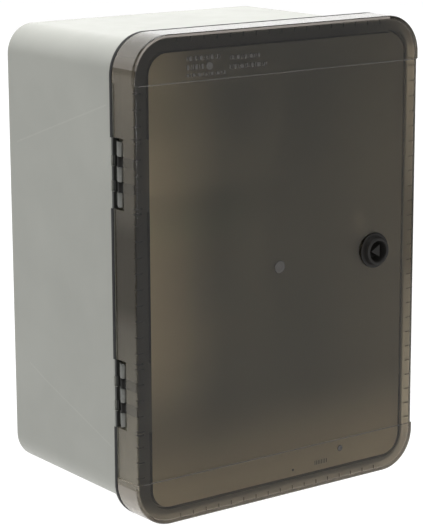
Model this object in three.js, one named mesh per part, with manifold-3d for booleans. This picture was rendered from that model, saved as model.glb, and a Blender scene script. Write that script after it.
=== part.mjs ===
// Irrigation controller in a weatherproof wall cabinet.
//
// The cabinet is a deep moulded box with a smoked tray door on two pin hinges and a triangular
// quarter-turn lock. Inside, a mounting plate carries the watering timer, the station board, a
// rail with the breaker, transformer and valve terminals, and a slotted wire duct.
//
// Millimetres. +Z is up, the door faces -Y, and the origin is the middle of the flat back face.

import * as THREE from 'three';
import { mergeVertices, toCreasedNormals } from 'three/addons/utils/BufferGeometryUtils.js';
import Module from 'manifold-3d';

const wasm = await Module();
wasm.setup();

// ---------------------------------------------------------------- driving dimensions

// cabinet body
const BODY_W = 277;
const BODY_H = 386;
const BODY_R = 25.4;
const WALL = 3;
const BACK_WALL = 3.5;
const BACK_EDGE = 2;
const FLANGE_FRONT = -171.8;
const FLANGE_BACK = -167.8;

// sealing lip that stands forward of the flange
const LIP_FRONT = -190.6;
const LIP_W = 273;
const LIP_H = 382;
const LIP_R = 23.4;
const LIP_THICK = 2.5;

// door
const DOOR_W = 294.5;
const DOOR_H = 400;
const DOOR_R = 33.1;
const DOOR_FRONT = -203;
const DOOR_BACK = -173.2;
const DOOR_EDGE = 2.4;
const DOOR_INNER_EDGE = 0.8;
const DOOR_WALL = 3;
const LINE_Z = 161.5;
const LINE_DEEP = 0.4;
const WAIST = 1.2;
const RIB_W = 267.8;
const RIB_H = 375.8;
const RIB_R = 19.9;
const RIB_THICK = 2.4;
const RIB_BACK = -191.6;

// gasket between the door's rib and its skirt
const GASKET_W = 277.4;
const GASKET_H = 386;
const GASKET_R = 24.7;
const GASKET_THICK = 4.5;
const GASKET_FRONT = -197;
const GASKET_BACK = -191;

// hinges
const HINGE_X = -145;
const HINGE_Y = -181;
const HINGE_Z = 90.3;
const KNUCKLE_R = 2.7;
const DOOR_KNUCKLE_R = 2.5;
const KNUCKLE_H = 11.6;
const KNUCKLE_PITCH = 20.3;
const HINGE_CUT = 28.7;
const HINGE_CUT_FRONT = -186;
const PAD_FRONT = -173.6;
const PIN_R = 1.2;
const PIN_BORE = 1.45;

// lock
const LOCK_X = 99.8;
const LOCK_Z = 0.6;
const COLLAR_FRONT = -209;
const COLLAR_R = 12.4;
const COLLAR_BASE_R = 14;
const BARREL_R = 10.5;
const RECESS_R = 8.4;
const CAM_FRONT = -181.3;
const CAM_BACK = -178.3;
const CAM_REACH = 30;
const STRIKE_SCREW_Y = -172.5;

// mounting plate and back-wall fixings
const PLATE_W = 236;
const PLATE_H = 336;
const PLATE_FRONT = -16;
const PLATE_BACK = -14;
const BOSS_X = 106;
const BOSS_Z = 156;
const FIXING_X = 122;
const FIXING_Z = 177;

// watering timer
const TIMER_W = 196;
const TIMER_H = 116;
const TIMER_Z = 103;
const TIMER_FRONT = -74;
const TIMER_JOINT = -58;
const DIAL_X = 54;
const DIAL_Z = 112;
const BUTTON_Z = 66;
const BUTTON_X = [-82, -58, -34, -10];
const SWITCH_X = 34;
const WINDOW_X = -46;
const WINDOW_Z = 112;
const WINDOW_W = 84;
const WINDOW_H = 44;

// station board
const BOARD_W = 184;
const BOARD_LOW = -6;
const BOARD_HIGH = 36;
const BOARD_FRONT = -25;

// rail and what clips on it
const RAIL_Z = -60;
const RAIL_HALF = 100;
const RAIL_SEAT = -24.1;
const RAIL_FOOT = -18;
const BREAKER_X = -86;
const TERMINAL_X = 20;
const TERMINAL_PITCH = 6.2;
const TERMINAL_COUNT = 6;

// wire duct
const DUCT_LOW = -158;
const DUCT_HIGH = -128;
const DUCT_HALF = 97;
const DUCT_FRONT = -56;

// cable glands in the bottom wall
const GLAND_X = [-42, 14];
const GLAND_Y = -82;
const GLAND_THREAD_R = 10;

// ---------------------------------------------------------------- solid helpers

function solid(geometry) {
  const plain = geometry.clone();
  plain.deleteAttribute('normal');
  plain.deleteAttribute('uv');
  const merged = mergeVertices(plain, 1e-4);
  return new wasm.Manifold(new wasm.Mesh({
    numProp: 3,
    vertProperties: new Float32Array(merged.attributes.position.array),
    triVerts: new Uint32Array(merged.index.array),
  }));
}

function piece(name, shape, material) {
  const cut = shape.getMesh();
  const geometry = new THREE.BufferGeometry();
  const positions = new Float32Array(cut.vertProperties);
  geometry.setAttribute('position', new THREE.BufferAttribute(positions, 3));
  geometry.setIndex(new THREE.BufferAttribute(new Uint32Array(cut.triVerts), 1));
  const mesh = new THREE.Mesh(toCreasedNormals(geometry, 0.6), material);
  mesh.name = name;
  return mesh;
}

function block(x0, x1, y0, y1, z0, z1) {
  const geometry = new THREE.BoxGeometry(x1 - x0, y1 - y0, z1 - z0);
  geometry.translate((x0 + x1) / 2, (y0 + y1) / 2, (z0 + z1) / 2);
  return solid(geometry);
}

// A cylinder or cone between two places on one axis; a and b are the other two coordinates.
function rod(axis, radius, start, end, a, b, sides = 20, endRadius = radius) {
  const geometry = new THREE.CylinderGeometry(endRadius, radius, end - start, sides);
  const middle = (start + end) / 2;
  if (axis === 'x') {
    geometry.rotateZ(-Math.PI / 2);
    geometry.translate(middle, a, b);
  }
  if (axis === 'y') {
    geometry.translate(a, middle, b);
  }
  if (axis === 'z') {
    geometry.rotateX(Math.PI / 2);
    geometry.translate(a, b, middle);
  }
  return solid(geometry);
}

function roundedRect(width, height, radius, x = 0, z = 0) {
  const shape = new THREE.Shape();
  const dx = width / 2 - radius;
  const dz = height / 2 - radius;
  shape.absarc(x + dx, z + dz, radius, 0, Math.PI / 2);
  shape.absarc(x - dx, z + dz, radius, Math.PI / 2, Math.PI);
  shape.absarc(x - dx, z - dz, radius, Math.PI, 1.5 * Math.PI);
  shape.absarc(x + dx, z - dz, radius, 1.5 * Math.PI, 2 * Math.PI);
  return shape;
}

// A front-view outline carried through the depth from y = front to y = back.
function slab(shape, front, back, smooth = 2) {
  const options = { depth: back - front, bevelEnabled: false, curveSegments: smooth };
  const geometry = new THREE.ExtrudeGeometry(shape, options);
  geometry.rotateX(Math.PI / 2);
  geometry.translate(0, back, 0);
  return solid(geometry);
}

// A slab whose front edge or back edge is rounded.
function softSlab(shape, front, back, edge, end, smooth = 5, steps = 3) {
  const geometry = new THREE.ExtrudeGeometry(shape, {
    depth: back - front - edge,
    bevelEnabled: true,
    bevelThickness: edge,
    bevelSize: edge,
    bevelOffset: -edge,
    bevelSegments: steps,
    curveSegments: smooth,
  });
  geometry.rotateX(Math.PI / 2);
  geometry.translate(0, end === 'front' ? back : back - edge, 0);
  const whole = solid(geometry);
  if (end === 'front') {
    return whole.subtract(block(-300, 300, back, back + edge + 5, -300, 300));
  }
  return whole.subtract(block(-300, 300, front - edge - 5, front, -300, 300));
}

// A ring between an outline and the same outline moved inward.
function ring(width, height, radius, thick, front, back, smooth = 5) {
  const outside = slab(roundedRect(width, height, radius), front, back, smooth);
  const inner = roundedRect(width - 2 * thick, height - 2 * thick, radius - thick);
  return outside.subtract(slab(inner, front - 1, back + 1, smooth));
}

// A side-view outline of [y, z] points carried along X.
function profileX(points, x0, x1) {
  const shape = new THREE.Shape(points.map(([y, z]) => new THREE.Vector2(y, z)));
  const options = { depth: x1 - x0, bevelEnabled: false };
  const geometry = new THREE.ExtrudeGeometry(shape, options);
  const toX = new THREE.Matrix4().makeBasis(
    new THREE.Vector3(0, 1, 0),
    new THREE.Vector3(0, 0, 1),
    new THREE.Vector3(1, 0, 0),
  );
  geometry.applyMatrix4(toX);
  geometry.translate(x0, 0, 0);
  return solid(geometry);
}

function join(shapes) {
  return shapes.reduce((sum, shape) => sum.add(shape));
}

function cutAll(shape, cutters) {
  return cutters.length ? shape.subtract(join(cutters)) : shape;
}

function spread(count, pitch) {
  return Array.from({ length: count }, (_, i) => (i - (count - 1) / 2) * pitch);
}

// ---------------------------------------------------------------- materials

function plastic(color, roughness = 0.5) {
  return new THREE.MeshStandardMaterial({ color, roughness, metalness: 0 });
}

function metal(color, roughness = 0.35) {
  return new THREE.MeshStandardMaterial({ color, roughness, metalness: 1 });
}

function smokedPlastic() {
  return new THREE.MeshStandardMaterial({
    color: 0x5a544c,
    roughness: 0.25,
    metalness: 0,
    transparent: true,
    opacity: 0.6,
  });
}

// ---------------------------------------------------------------- cabinet body

// The three body knuckles of a hinge stand at these heights, and the two door knuckles between.
// Each body knuckle is on a web, and the webs stand on a low pad with a notch at each door knuckle.
function bodyKnuckles(middle) {
  return [-KNUCKLE_PITCH, 0, KNUCKLE_PITCH].map((step) => middle + step);
}

function doorKnuckles(middle) {
  return [-KNUCKLE_PITCH / 2, KNUCKLE_PITCH / 2].map((step) => middle + step);
}

function bodyHinge(middle) {
  const half = KNUCKLE_H / 2;
  const parts = bodyKnuckles(middle).flatMap((z) => [
    rod('z', KNUCKLE_R, z - half, z + half, HINGE_X, HINGE_Y, 16),
    block(-144.2, -142.3, HINGE_Y, FLANGE_FRONT + 1, z - half, z + half),
  ]);
  const end = HINGE_CUT - 0.5;
  parts.push(block(-147.25, -141, PAD_FRONT, FLANGE_FRONT + 1, middle - end, middle + end));
  return join(parts);
}

function flangeNotches(middle) {
  const half = (KNUCKLE_PITCH - KNUCKLE_H) / 2;
  return doorKnuckles(middle).map((z) => (
    block(-150, -145.3, PAD_FRONT - 1, FLANGE_FRONT + 0.9, z - half, z + half)
  ));
}

function enclosureBody() {
  const outline = roundedRect(BODY_W, BODY_H, BODY_R);
  const box = softSlab(outline, FLANGE_FRONT, 0, BACK_EDGE, 'back', 3, 1);
  const flange = slab(roundedRect(DOOR_W, DOOR_H, DOOR_R), FLANGE_FRONT, FLANGE_BACK, 4);
  const inner = roundedRect(BODY_W - 2 * WALL, BODY_H - 2 * WALL, BODY_R - WALL);
  const shell = box.add(flange).subtract(slab(inner, FLANGE_FRONT - 1, -BACK_WALL, 3));
  const lip = ring(LIP_W, LIP_H, LIP_R, LIP_THICK, LIP_FRONT, -165, 3);
  const bosses = [];
  const cuts = [];
  for (const sx of [-1, 1]) {
    for (const sz of [-1, 1]) {
      bosses.push(rod('y', 6, PLATE_BACK + 0.3, -BACK_WALL + 0.5, sx * BOSS_X, sz * BOSS_Z, 14));
      cuts.push(rod('y', 1.9, PLATE_BACK - 1, -5.5, sx * BOSS_X, sz * BOSS_Z, 8));
      cuts.push(rod('y', 3.2, -5, 1, sx * FIXING_X, sz * FIXING_Z, 12));
    }
  }
  for (const x of GLAND_X) {
    cuts.push(rod('z', GLAND_THREAD_R + 0.3, -BODY_H / 2 - 1, -BODY_H / 2 + 4, x, GLAND_Y, 16));
  }
  for (const middle of [-HINGE_Z, HINGE_Z]) {
    cuts.push(...flangeNotches(middle));
    cuts.push(rod('z', PIN_BORE, middle - 30, middle + 30, HINGE_X, HINGE_Y, 10));
  }
  cuts.push(rod('x', 1.9, 130, 140, STRIKE_SCREW_Y, LOCK_Z + 4, 8));
  const whole = join([shell, lip, bodyHinge(-HINGE_Z), bodyHinge(HINGE_Z), ...bosses]);
  return piece('enclosure_body', cutAll(whole, cuts), plastic(0xb4b5ac, 0.45));
}

// ---------------------------------------------------------------- door

// The outer skin: a rounded tray whose sides step in slightly between the two moulded lines.
function doorSkin() {
  const shape = roundedRect(DOOR_W, DOOR_H, DOOR_R);
  const full = softSlab(shape, DOOR_FRONT, DOOR_BACK, DOOR_EDGE, 'front', 4, 3);
  const waistShape = roundedRect(DOOR_W - 2 * WAIST, DOOR_H, DOOR_R);
  const waistCore = softSlab(waistShape, DOOR_FRONT + LINE_DEEP, DOOR_BACK, DOOR_EDGE, 'front', 4, 3);
  const waistBand = block(-160, 160, -210, -170, -LINE_Z, LINE_Z);
  return full.subtract(waistBand.subtract(waistCore));
}

// The hinge side of the door: two knuckles on webs, and a short wall above and below them.
function doorHinge(middle) {
  const half = (KNUCKLE_PITCH - KNUCKLE_H) / 2 - 0.4;
  const parts = doorKnuckles(middle).flatMap((z) => [
    rod('z', DOOR_KNUCKLE_R, z - half, z + half, HINGE_X, HINGE_Y, 16),
    block(-146, -143, DOOR_FRONT + 1, HINGE_Y, z - half, z + half),
  ]);
  for (const end of [-1, 1]) {
    const z = middle + end * (HINGE_CUT + 0.8);
    parts.push(block(-144.6, -139.2, DOOR_FRONT + 1, GASKET_FRONT + 1, z - 0.8, z + 0.8));
  }
  return join(parts);
}

function door() {
  const inner = roundedRect(DOOR_W - 2 * DOOR_WALL, DOOR_H - 2 * DOOR_WALL, DOOR_R - DOOR_WALL);
  const innerFront = DOOR_FRONT + DOOR_WALL;
  const hollow = softSlab(inner, innerFront, DOOR_BACK + 1, DOOR_INNER_EDGE, 'front', 4, 1);
  const shell = doorSkin().subtract(hollow);
  const ribGaps = [-HINGE_Z, HINGE_Z].map((z) => (
    block(-140, -125, innerFront, -180, z - HINGE_CUT, z + HINGE_CUT)
  ));
  const ribRing = ring(RIB_W, RIB_H, RIB_R, RIB_THICK, innerFront - 0.5, RIB_BACK, 3);
  const rib = ribRing.subtract(join(ribGaps));
  const cutouts = [-HINGE_Z, HINGE_Z].map((z) => (
    block(-150, -143.9, HINGE_CUT_FRONT, -170, z - HINGE_CUT, z + HINGE_CUT)
  ));
  const whole = join([
    shell.subtract(join(cutouts)),
    rib,
    doorHinge(-HINGE_Z),
    doorHinge(HINGE_Z),
  ]);
  const bores = [-HINGE_Z, HINGE_Z].map((z) => (
    rod('z', PIN_BORE, z - HINGE_CUT + 0.2, z + HINGE_CUT - 0.2, HINGE_X, HINGE_Y, 10)
  ));
  const lockHole = rod('y', BARREL_R + 0.3, -205, -198, LOCK_X, LOCK_Z, 24);
  return piece('door', cutAll(whole, [...bores, lockHole]), smokedPlastic());
}

function doorGasket() {
  const seal = ring(GASKET_W, GASKET_H, GASKET_R, GASKET_THICK, GASKET_FRONT, GASKET_BACK, 3);
  return piece('door_gasket', seal, plastic(0x1b1b1b, 0.8));
}

function hingePin(name, middle) {
  const half = KNUCKLE_PITCH + KNUCKLE_H / 2 - 0.2;
  const pin = rod('z', PIN_R, middle - half, middle + half, HINGE_X, HINGE_Y, 12);
  return piece(name, pin, metal(0x8d8f8f));
}

// ---------------------------------------------------------------- lock

function lockHousing() {
  const back = DOOR_FRONT - 0.3;
  const collar = rod('y', COLLAR_R, COLLAR_FRONT, back, LOCK_X, LOCK_Z, 24, COLLAR_BASE_R);
  const barrel = rod('y', BARREL_R, back - 0.5, -184, LOCK_X, LOCK_Z, 24);
  const recess = rod('y', RECESS_R, -210, -197, LOCK_X, LOCK_Z, 20);
  const bore = rod('y', 6.3, -198, -183, LOCK_X, LOCK_Z, 16);
  const housing = collar.add(barrel).subtract(recess.add(bore));
  return piece('lock_housing', housing, plastic(0x2a2827, 0.35));
}

function lockNut() {
  const hex = rod('y', 15.6, -199.7, -194.7, LOCK_X, LOCK_Z, 6);
  const bore = rod('y', BARREL_R + 0.3, -201, -193, LOCK_X, LOCK_Z, 20);
  return piece('lock_nut', hex.subtract(bore), plastic(0x262626, 0.5));
}

// A three-sided key post on a round core that ends in a square for the cam.
function lockCore() {
  const post = new THREE.CylinderGeometry(6.2, 6.2, 9.5, 3);
  post.rotateY(-Math.PI / 2);
  post.translate(LOCK_X, -202, LOCK_Z);
  const shoulder = rod('y', 7.8, -198.6, -197.3, LOCK_X, LOCK_Z, 16);
  const core = rod('y', 6, -198.6, CAM_FRONT - 0.3, LOCK_X, LOCK_Z, 16);
  const half = 3.4;
  const square = block(LOCK_X - half, LOCK_X + half, -183, CAM_BACK, LOCK_Z - half, LOCK_Z + half);
  const thread = rod('y', 1.7, -186.5, -178, LOCK_X, LOCK_Z, 8);
  const whole = join([solid(post), shoulder, core, square]).subtract(thread);
  return piece('lock_core', whole, plastic(0x1d1c1c, 0.4));
}

function lockCam() {
  const hub = rod('y', 8, CAM_FRONT, CAM_BACK, LOCK_X, LOCK_Z, 16);
  const tip = LOCK_Z + CAM_REACH;
  const arm = block(LOCK_X - 6, LOCK_X + 6, CAM_FRONT, CAM_BACK, LOCK_Z, tip);
  const hole = block(LOCK_X - 3.7, LOCK_X + 3.7, -183, -177, LOCK_Z - 3.7, LOCK_Z + 3.7);
  return piece('lock_cam', hub.add(arm).subtract(hole), metal(0x9a9b98));
}

function camScrew() {
  const head = rod('y', 5.6, CAM_BACK + 0.3, CAM_BACK + 2.8, LOCK_X, LOCK_Z, 14, 4.4);
  const shank = rod('y', 1.4, -185.5, CAM_BACK + 0.5, LOCK_X, LOCK_Z, 8);
  const slot = block(LOCK_X - 3.2, LOCK_X + 3.2, CAM_BACK + 1.6, -170, LOCK_Z - 0.5, LOCK_Z + 0.5);
  return piece('cam_screw', head.add(shank).subtract(slot), metal(0xb0b0ac));
}

// The keeper inside the right-hand lip: a ledge the cam turns in behind, with a stop under it.
function lockStrike() {
  const low = LOCK_Z - 13;
  const high = LOCK_Z + 13;
  const foot = block(131.2, 133.7, LIP_FRONT, -167, low, high);
  const ledge = block(121, 132, LIP_FRONT, LIP_FRONT + 3, low, high);
  const stop = block(121, 132, LIP_FRONT, -168, low, low + 2.5);
  const hole = rod('x', 1.9, 130, 135, STRIKE_SCREW_Y, LOCK_Z + 4, 8);
  return piece('lock_strike', join([foot, ledge, stop]).subtract(hole), metal(0xa2a39f));
}

function strikeScrew() {
  const z = LOCK_Z + 4;
  const head = rod('x', 2.6, 128.6, 130.9, STRIKE_SCREW_Y, z, 12, 3.4);
  const shank = rod('x', 1.5, 130.5, 137.5, STRIKE_SCREW_Y, z, 8);
  const slot = block(128, 129.7, STRIKE_SCREW_Y - 2, STRIKE_SCREW_Y + 2, z - 0.4, z + 0.4);
  return piece('strike_screw', head.add(shank).subtract(slot), metal(0xb0b0ac));
}

// ---------------------------------------------------------------- back fixings and plate

function fixingCap(name, x, z) {
  const cap = rod('y', 7, -6, -BACK_WALL - 0.3, x, z, 14).add(rod('y', 2.9, -4.5, -0.8, x, z, 10));
  return piece(name, cap, plastic(0xa9aaa2, 0.5));
}

function mountingPlate() {
  const sheet = slab(roundedRect(PLATE_W, PLATE_H, 8), PLATE_FRONT, PLATE_BACK);
  const holes = [];
  for (const sx of [-1, 1]) {
    for (const sz of [-1, 1]) {
      holes.push(rod('y', 2.2, -18, -12, sx * BOSS_X, sz * BOSS_Z, 10));
    }
    holes.push(rod('y', 2.2, -18, -12, sx * (RAIL_HALF - 8), RAIL_Z, 10));
  }
  return piece('mounting_plate', cutAll(sheet, holes), plastic(0xdcdcd7, 0.4));
}

function panScrew(name, x, z, seat) {
  const head = rod('y', 3.2, seat - 2.4, seat - 0.3, x, z, 12, 4.2);
  const shank = rod('y', 1.5, seat - 0.5, seat + 9, x, z, 8);
  const slot = block(x - 2.4, x + 2.4, seat - 3, seat - 1.4, z - 0.45, z + 0.45);
  return piece(name, head.add(shank).subtract(slot), metal(0xb8b9b6, 0.3));
}

// ---------------------------------------------------------------- watering timer

function timerBase() {
  const low = TIMER_Z - TIMER_H / 2;
  const outline = roundedRect(TIMER_W - 6, TIMER_H - 6, 6, 0, TIMER_Z);
  const inner = roundedRect(TIMER_W - 11, TIMER_H - 11, 3.5, 0, TIMER_Z);
  const tray = slab(outline, TIMER_JOINT, PLATE_FRONT - 0.3).subtract(slab(inner, -60, -18.8));
  const posts = [];
  for (const sx of [-1, 1]) {
    for (const sz of [-1, 1]) {
      posts.push(rod('y', 3, -51.7, -18, sx * 80, TIMER_Z + sz * 42, 12));
    }
  }
  const wireSlot = block(-40, 40, -46, -30, low - 2, low + 7);
  return piece('timer_base', join([tray, ...posts]).subtract(wireSlot), plastic(0xd8d8d2, 0.5));
}

function timerFascia() {
  const outline = roundedRect(TIMER_W, TIMER_H, 9, 0, TIMER_Z);
  const shell = softSlab(outline, TIMER_FRONT, TIMER_JOINT - 0.3, 3, 'front', 2, 2);
  const inner = roundedRect(TIMER_W - 5, TIMER_H - 5, 6.5, 0, TIMER_Z);
  const hollow = slab(inner, TIMER_FRONT + 2.5, TIMER_JOINT + 1, 2);
  const cuts = [
    slab(roundedRect(WINDOW_W, WINDOW_H, 3, WINDOW_X, WINDOW_Z), -80, -70),
    rod('y', 5.4, -80, -70, DIAL_X, DIAL_Z, 16),
    block(SWITCH_X - 3.5, SWITCH_X + 11.5, -80, -70, BUTTON_Z - 3, BUTTON_Z + 3),
  ];
  for (const x of BUTTON_X) {
    cuts.push(slab(roundedRect(16.6, 9.6, 2.6, x, BUTTON_Z), -80, -70, 1));
  }
  return piece('timer_fascia', cutAll(shell.subtract(hollow), cuts), plastic(0xe4e4de, 0.45));
}

function logicBoard() {
  const sheet = slab(roundedRect(176, 96, 2, 0, TIMER_Z), -53.6, -52);
  const chips = join([
    block(-20, 4, -56, -53, TIMER_Z - 36, TIMER_Z - 24),
    block(24, 40, -57, -53, TIMER_Z - 38, TIMER_Z - 26),
    block(-6, 20, -56, -53, TIMER_Z + 30, TIMER_Z + 40),
  ]);
  return piece('logic_board', sheet.add(chips), plastic(0x1f6b3c, 0.5));
}

function displayWindow() {
  const gap = 0.6;
  const pane = roundedRect(WINDOW_W - gap, WINDOW_H - gap, 2.7, WINDOW_X, WINDOW_Z);
  const rebate = roundedRect(WINDOW_W + 5, WINDOW_H + 5, 4, WINDOW_X, WINDOW_Z);
  const window = slab(pane, TIMER_FRONT + 0.2, -70.6).add(slab(rebate, -71.2, -70));
  return piece('display_window', window, plastic(0x9aa39c, 0.1));
}

function displayPanel() {
  const body = block(WINDOW_X - 44, WINDOW_X + 44, -69.6, -63, WINDOW_Z - 24, WINDOW_Z + 24);
  const legs = [];
  for (const sx of [-1, 1]) {
    for (const sz of [-1, 1]) {
      legs.push(rod('y', 1.5, -63.5, -53.9, WINDOW_X + sx * 38, WINDOW_Z + sz * 20, 10));
    }
  }
  return piece('display_panel', join([body, ...legs]), plastic(0x8fa08a, 0.35));
}

// A round knob with a raised grip bar; its spindle passes through the fascia.
function programDial() {
  const skirt = rod('y', 19, -79, TIMER_FRONT - 0.4, DIAL_X, DIAL_Z, 28, 21);
  const boss = rod('y', 14, -84, -78, DIAL_X, DIAL_Z, 20, 15);
  const grip = block(DIAL_X - 4, DIAL_X + 4, -92, -82, DIAL_Z - 13, DIAL_Z + 13);
  const spindle = rod('y', 5, TIMER_FRONT - 1, -55, DIAL_X, DIAL_Z, 12);
  return piece('program_dial', join([skirt, boss, grip, spindle]), plastic(0x2f3438, 0.45));
}

function pushButton(name, x) {
  const cap = softSlab(roundedRect(16, 9, 2.3, x, BUTTON_Z), -76.6, -71, 1, 'front', 1, 1);
  const collar = slab(roundedRect(20, 12, 2, x, BUTTON_Z), -71.2, -69.4, 1);
  const stem = rod('y', 2.5, -70, -58, x, BUTTON_Z, 8);
  return piece(name, join([cap, collar, stem]), plastic(0x5c6b74, 0.5));
}

function bypassSlider() {
  const x = SWITCH_X;
  const knob = block(x - 3, x + 3, -77.5, -71, BUTTON_Z - 2.6, BUTTON_Z + 2.6);
  const foot = block(x - 6, x + 6, -71.2, -69.4, BUTTON_Z - 5, BUTTON_Z + 5);
  return piece('bypass_slider', knob.add(foot), plastic(0xb5482f, 0.5));
}

// ---------------------------------------------------------------- station board

function stationBoard() {
  const middle = (BOARD_LOW + BOARD_HIGH) / 2;
  const outline = roundedRect(BOARD_W, BOARD_HIGH - BOARD_LOW, 2, 0, middle);
  const parts = [slab(outline, BOARD_FRONT, BOARD_FRONT + 1.6)];
  for (const sx of [-1, 1]) {
    for (const z of [BOARD_LOW + 5, BOARD_HIGH - 5]) {
      parts.push(rod('y', 3, BOARD_FRONT + 1, PLATE_FRONT - 0.3, sx * 86, z, 12));
    }
  }
  for (const x of spread(6, 19)) {
    parts.push(block(x - 6.5, x + 6.5, BOARD_FRONT - 11, BOARD_FRONT + 0.5, 19, 31));
  }
  parts.push(rod('y', 5.5, BOARD_FRONT - 15, BOARD_FRONT + 0.5, 72, 23, 20));
  parts.push(block(-84, -66, BOARD_FRONT - 8, BOARD_FRONT + 0.5, 18, 28));
  return piece('station_board', join(parts), plastic(0x1f6b3c, 0.5));
}

function stationStrip() {
  const front = BOARD_FRONT - 14;
  const back = BOARD_FRONT - 0.3;
  const outline = [
    [back, -3], [back, 12], [front + 4, 12], [front, 8], [front, -3],
  ];
  const cuts = spread(12, 10).flatMap((x) => [
    rod('y', 2.3, front - 1, front + 3, x, 3, 8),
    block(x - 2.6, x + 2.6, front + 4, front + 9, -5, 2),
  ]);
  return piece('station_strip', cutAll(profileX(outline, -61, 61), cuts), plastic(0x2d7a45, 0.5));
}

// ---------------------------------------------------------------- rail parts

function dinRail() {
  const back = PLATE_FRONT - 0.3;
  const front = back - 7.5;
  const outline = [
    [back, -12.5], [back, 12.5], [front + 1, 12.5], [front + 1, 17.5], [front, 17.5],
    [front, 11.5], [back - 1, 11.5], [back - 1, -11.5], [front, -11.5], [front, -17.5],
    [front + 1, -17.5], [front + 1, -12.5],
  ].map(([y, z]) => [y, z + RAIL_Z]);
  const holes = [-1, 1].map((s) => rod('y', 2.2, -20, -15, s * (RAIL_HALF - 8), RAIL_Z, 12));
  const rail = cutAll(profileX(outline, -RAIL_HALF, RAIL_HALF), holes);
  return piece('din_rail', rail, metal(0xb9bcbb, 0.4));
}

// The seat that clips over the rail, followed by whatever outline the front takes.
function clipOutline(half, front) {
  const seat = [
    [RAIL_FOOT, -half], [RAIL_FOOT, -17.9], [RAIL_SEAT, -17.9], [RAIL_SEAT, 17.9],
    [RAIL_FOOT, 17.9], [RAIL_FOOT, half],
  ];
  return [...seat, ...front].map(([y, z]) => [y, z + RAIL_Z]);
}

function breakerBody() {
  const front = [[-62, 42], [-62, 24], [-80, 22], [-80, -22], [-62, -24], [-62, -42]];
  const x = BREAKER_X;
  const shell = profileX(clipOutline(42, front), x - 8.9, x + 8.9);
  const cuts = [
    block(x - 4, x + 4, -82, -65, RAIL_Z - 11, RAIL_Z + 11),
    rod('x', 1.9, x - 6.5, x + 6.5, -72, RAIL_Z, 12),
  ];
  for (const end of [-1, 1]) {
    const low = Math.min(end * 38, end * 44);
    cuts.push(rod('y', 3.2, -63, -58, x, RAIL_Z + end * 34, 14));
    cuts.push(block(x - 4, x + 4, -54, -46, RAIL_Z + low, RAIL_Z + low + 6));
  }
  return piece('breaker_body', cutAll(shell, cuts), plastic(0xdedfdb, 0.4));
}

function breakerLever() {
  const x = BREAKER_X;
  const hub = rod('x', 6.4, x - 3.6, x + 3.6, 0, 0, 20);
  const arm = block(x - 3.6, x + 3.6, -17, 0, -2.8, 2.8);
  const pivot = rod('x', 1.5, x - 6, x + 6, 0, 0, 12);
  const lever = join([hub, arm, pivot]).rotate([-25, 0, 0]).translate([0, -72, RAIL_Z]);
  return piece('breaker_lever', lever, plastic(0x1e4d8c, 0.4));
}

function transformer() {
  const front = [[-58, 45], [-58, 30], [-76, 27], [-76, -27], [-58, -30], [-58, -45]];
  const shell = profileX(clipOutline(45, front), -68, 4);
  const cuts = [];
  for (const x of spread(7, 8)) {
    cuts.push(block(x - 33.5, x - 30.5, -78, -73, RAIL_Z - 18, RAIL_Z + 2));
  }
  for (const x of [-58, -46, -18, -6]) {
    cuts.push(rod('y', 3, -60, -54, x, RAIL_Z + 38, 8));
    cuts.push(rod('y', 3, -60, -54, x, RAIL_Z - 38, 8));
  }
  return piece('transformer', cutAll(shell, cuts), plastic(0x3b3f42, 0.5));
}

function terminalBlock(name, index) {
  const x0 = TERMINAL_X + index * TERMINAL_PITCH;
  const x = x0 + TERMINAL_PITCH / 2;
  const front = [[-40, 25], [-54, 15], [-54, -15], [-40, -25]];
  const cuts = [
    rod('y', 1.9, -56, -49, x, RAIL_Z + 9, 8),
    rod('y', 1.9, -56, -49, x, RAIL_Z - 9, 8),
    block(x - 1.7, x + 1.7, -44, -40, RAIL_Z + 17, RAIL_Z + 26),
    block(x - 1.7, x + 1.7, -44, -40, RAIL_Z - 26, RAIL_Z - 17),
  ];
  const shell = profileX(clipOutline(25, front), x0, x0 + TERMINAL_PITCH - 0.3);
  return piece(name, cutAll(shell, cuts), plastic(index ? 0x8b9197 : 0x3b78b8, 0.5));
}

function endClamp(name, x0) {
  const front = [[-34, 22], [-46, 12], [-46, -12], [-34, -22]];
  const clamp = profileX(clipOutline(22, front), x0, x0 + 7);
  const screw = rod('y', 2.2, -48, -42, x0 + 3.5, RAIL_Z, 12);
  return piece(name, clamp.subtract(screw), plastic(0x4a4d50, 0.5));
}

// ---------------------------------------------------------------- duct and wiring

function wireDuct() {
  const back = PLATE_FRONT - 0.3;
  const shell = block(-DUCT_HALF, DUCT_HALF, DUCT_FRONT, back, DUCT_LOW, DUCT_HIGH);
  const inner = block(-110, 110, DUCT_FRONT - 1, back - 1.8, DUCT_LOW + 1.6, DUCT_HIGH - 1.6);
  const slots = spread(15, 12).map((x) => (
    block(x - 2.5, x + 2.5, DUCT_FRONT - 1, back - 9, DUCT_LOW - 1, DUCT_HIGH + 1)
  ));
  return piece('wire_duct', cutAll(shell.subtract(inner), slots), plastic(0x9aa0a3, 0.5));
}

function ductCover() {
  const outline = [
    [-59, DUCT_LOW - 2], [-59, DUCT_HIGH + 2], [-50, DUCT_HIGH + 2], [-50, DUCT_HIGH + 0.4],
    [-56.4, DUCT_HIGH + 0.4], [-56.4, DUCT_LOW - 0.4], [-50, DUCT_LOW - 0.4], [-50, DUCT_LOW - 2],
  ];
  return piece('duct_cover', profileX(outline, -DUCT_HALF, DUCT_HALF), plastic(0xa3a9ac, 0.5));
}

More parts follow.
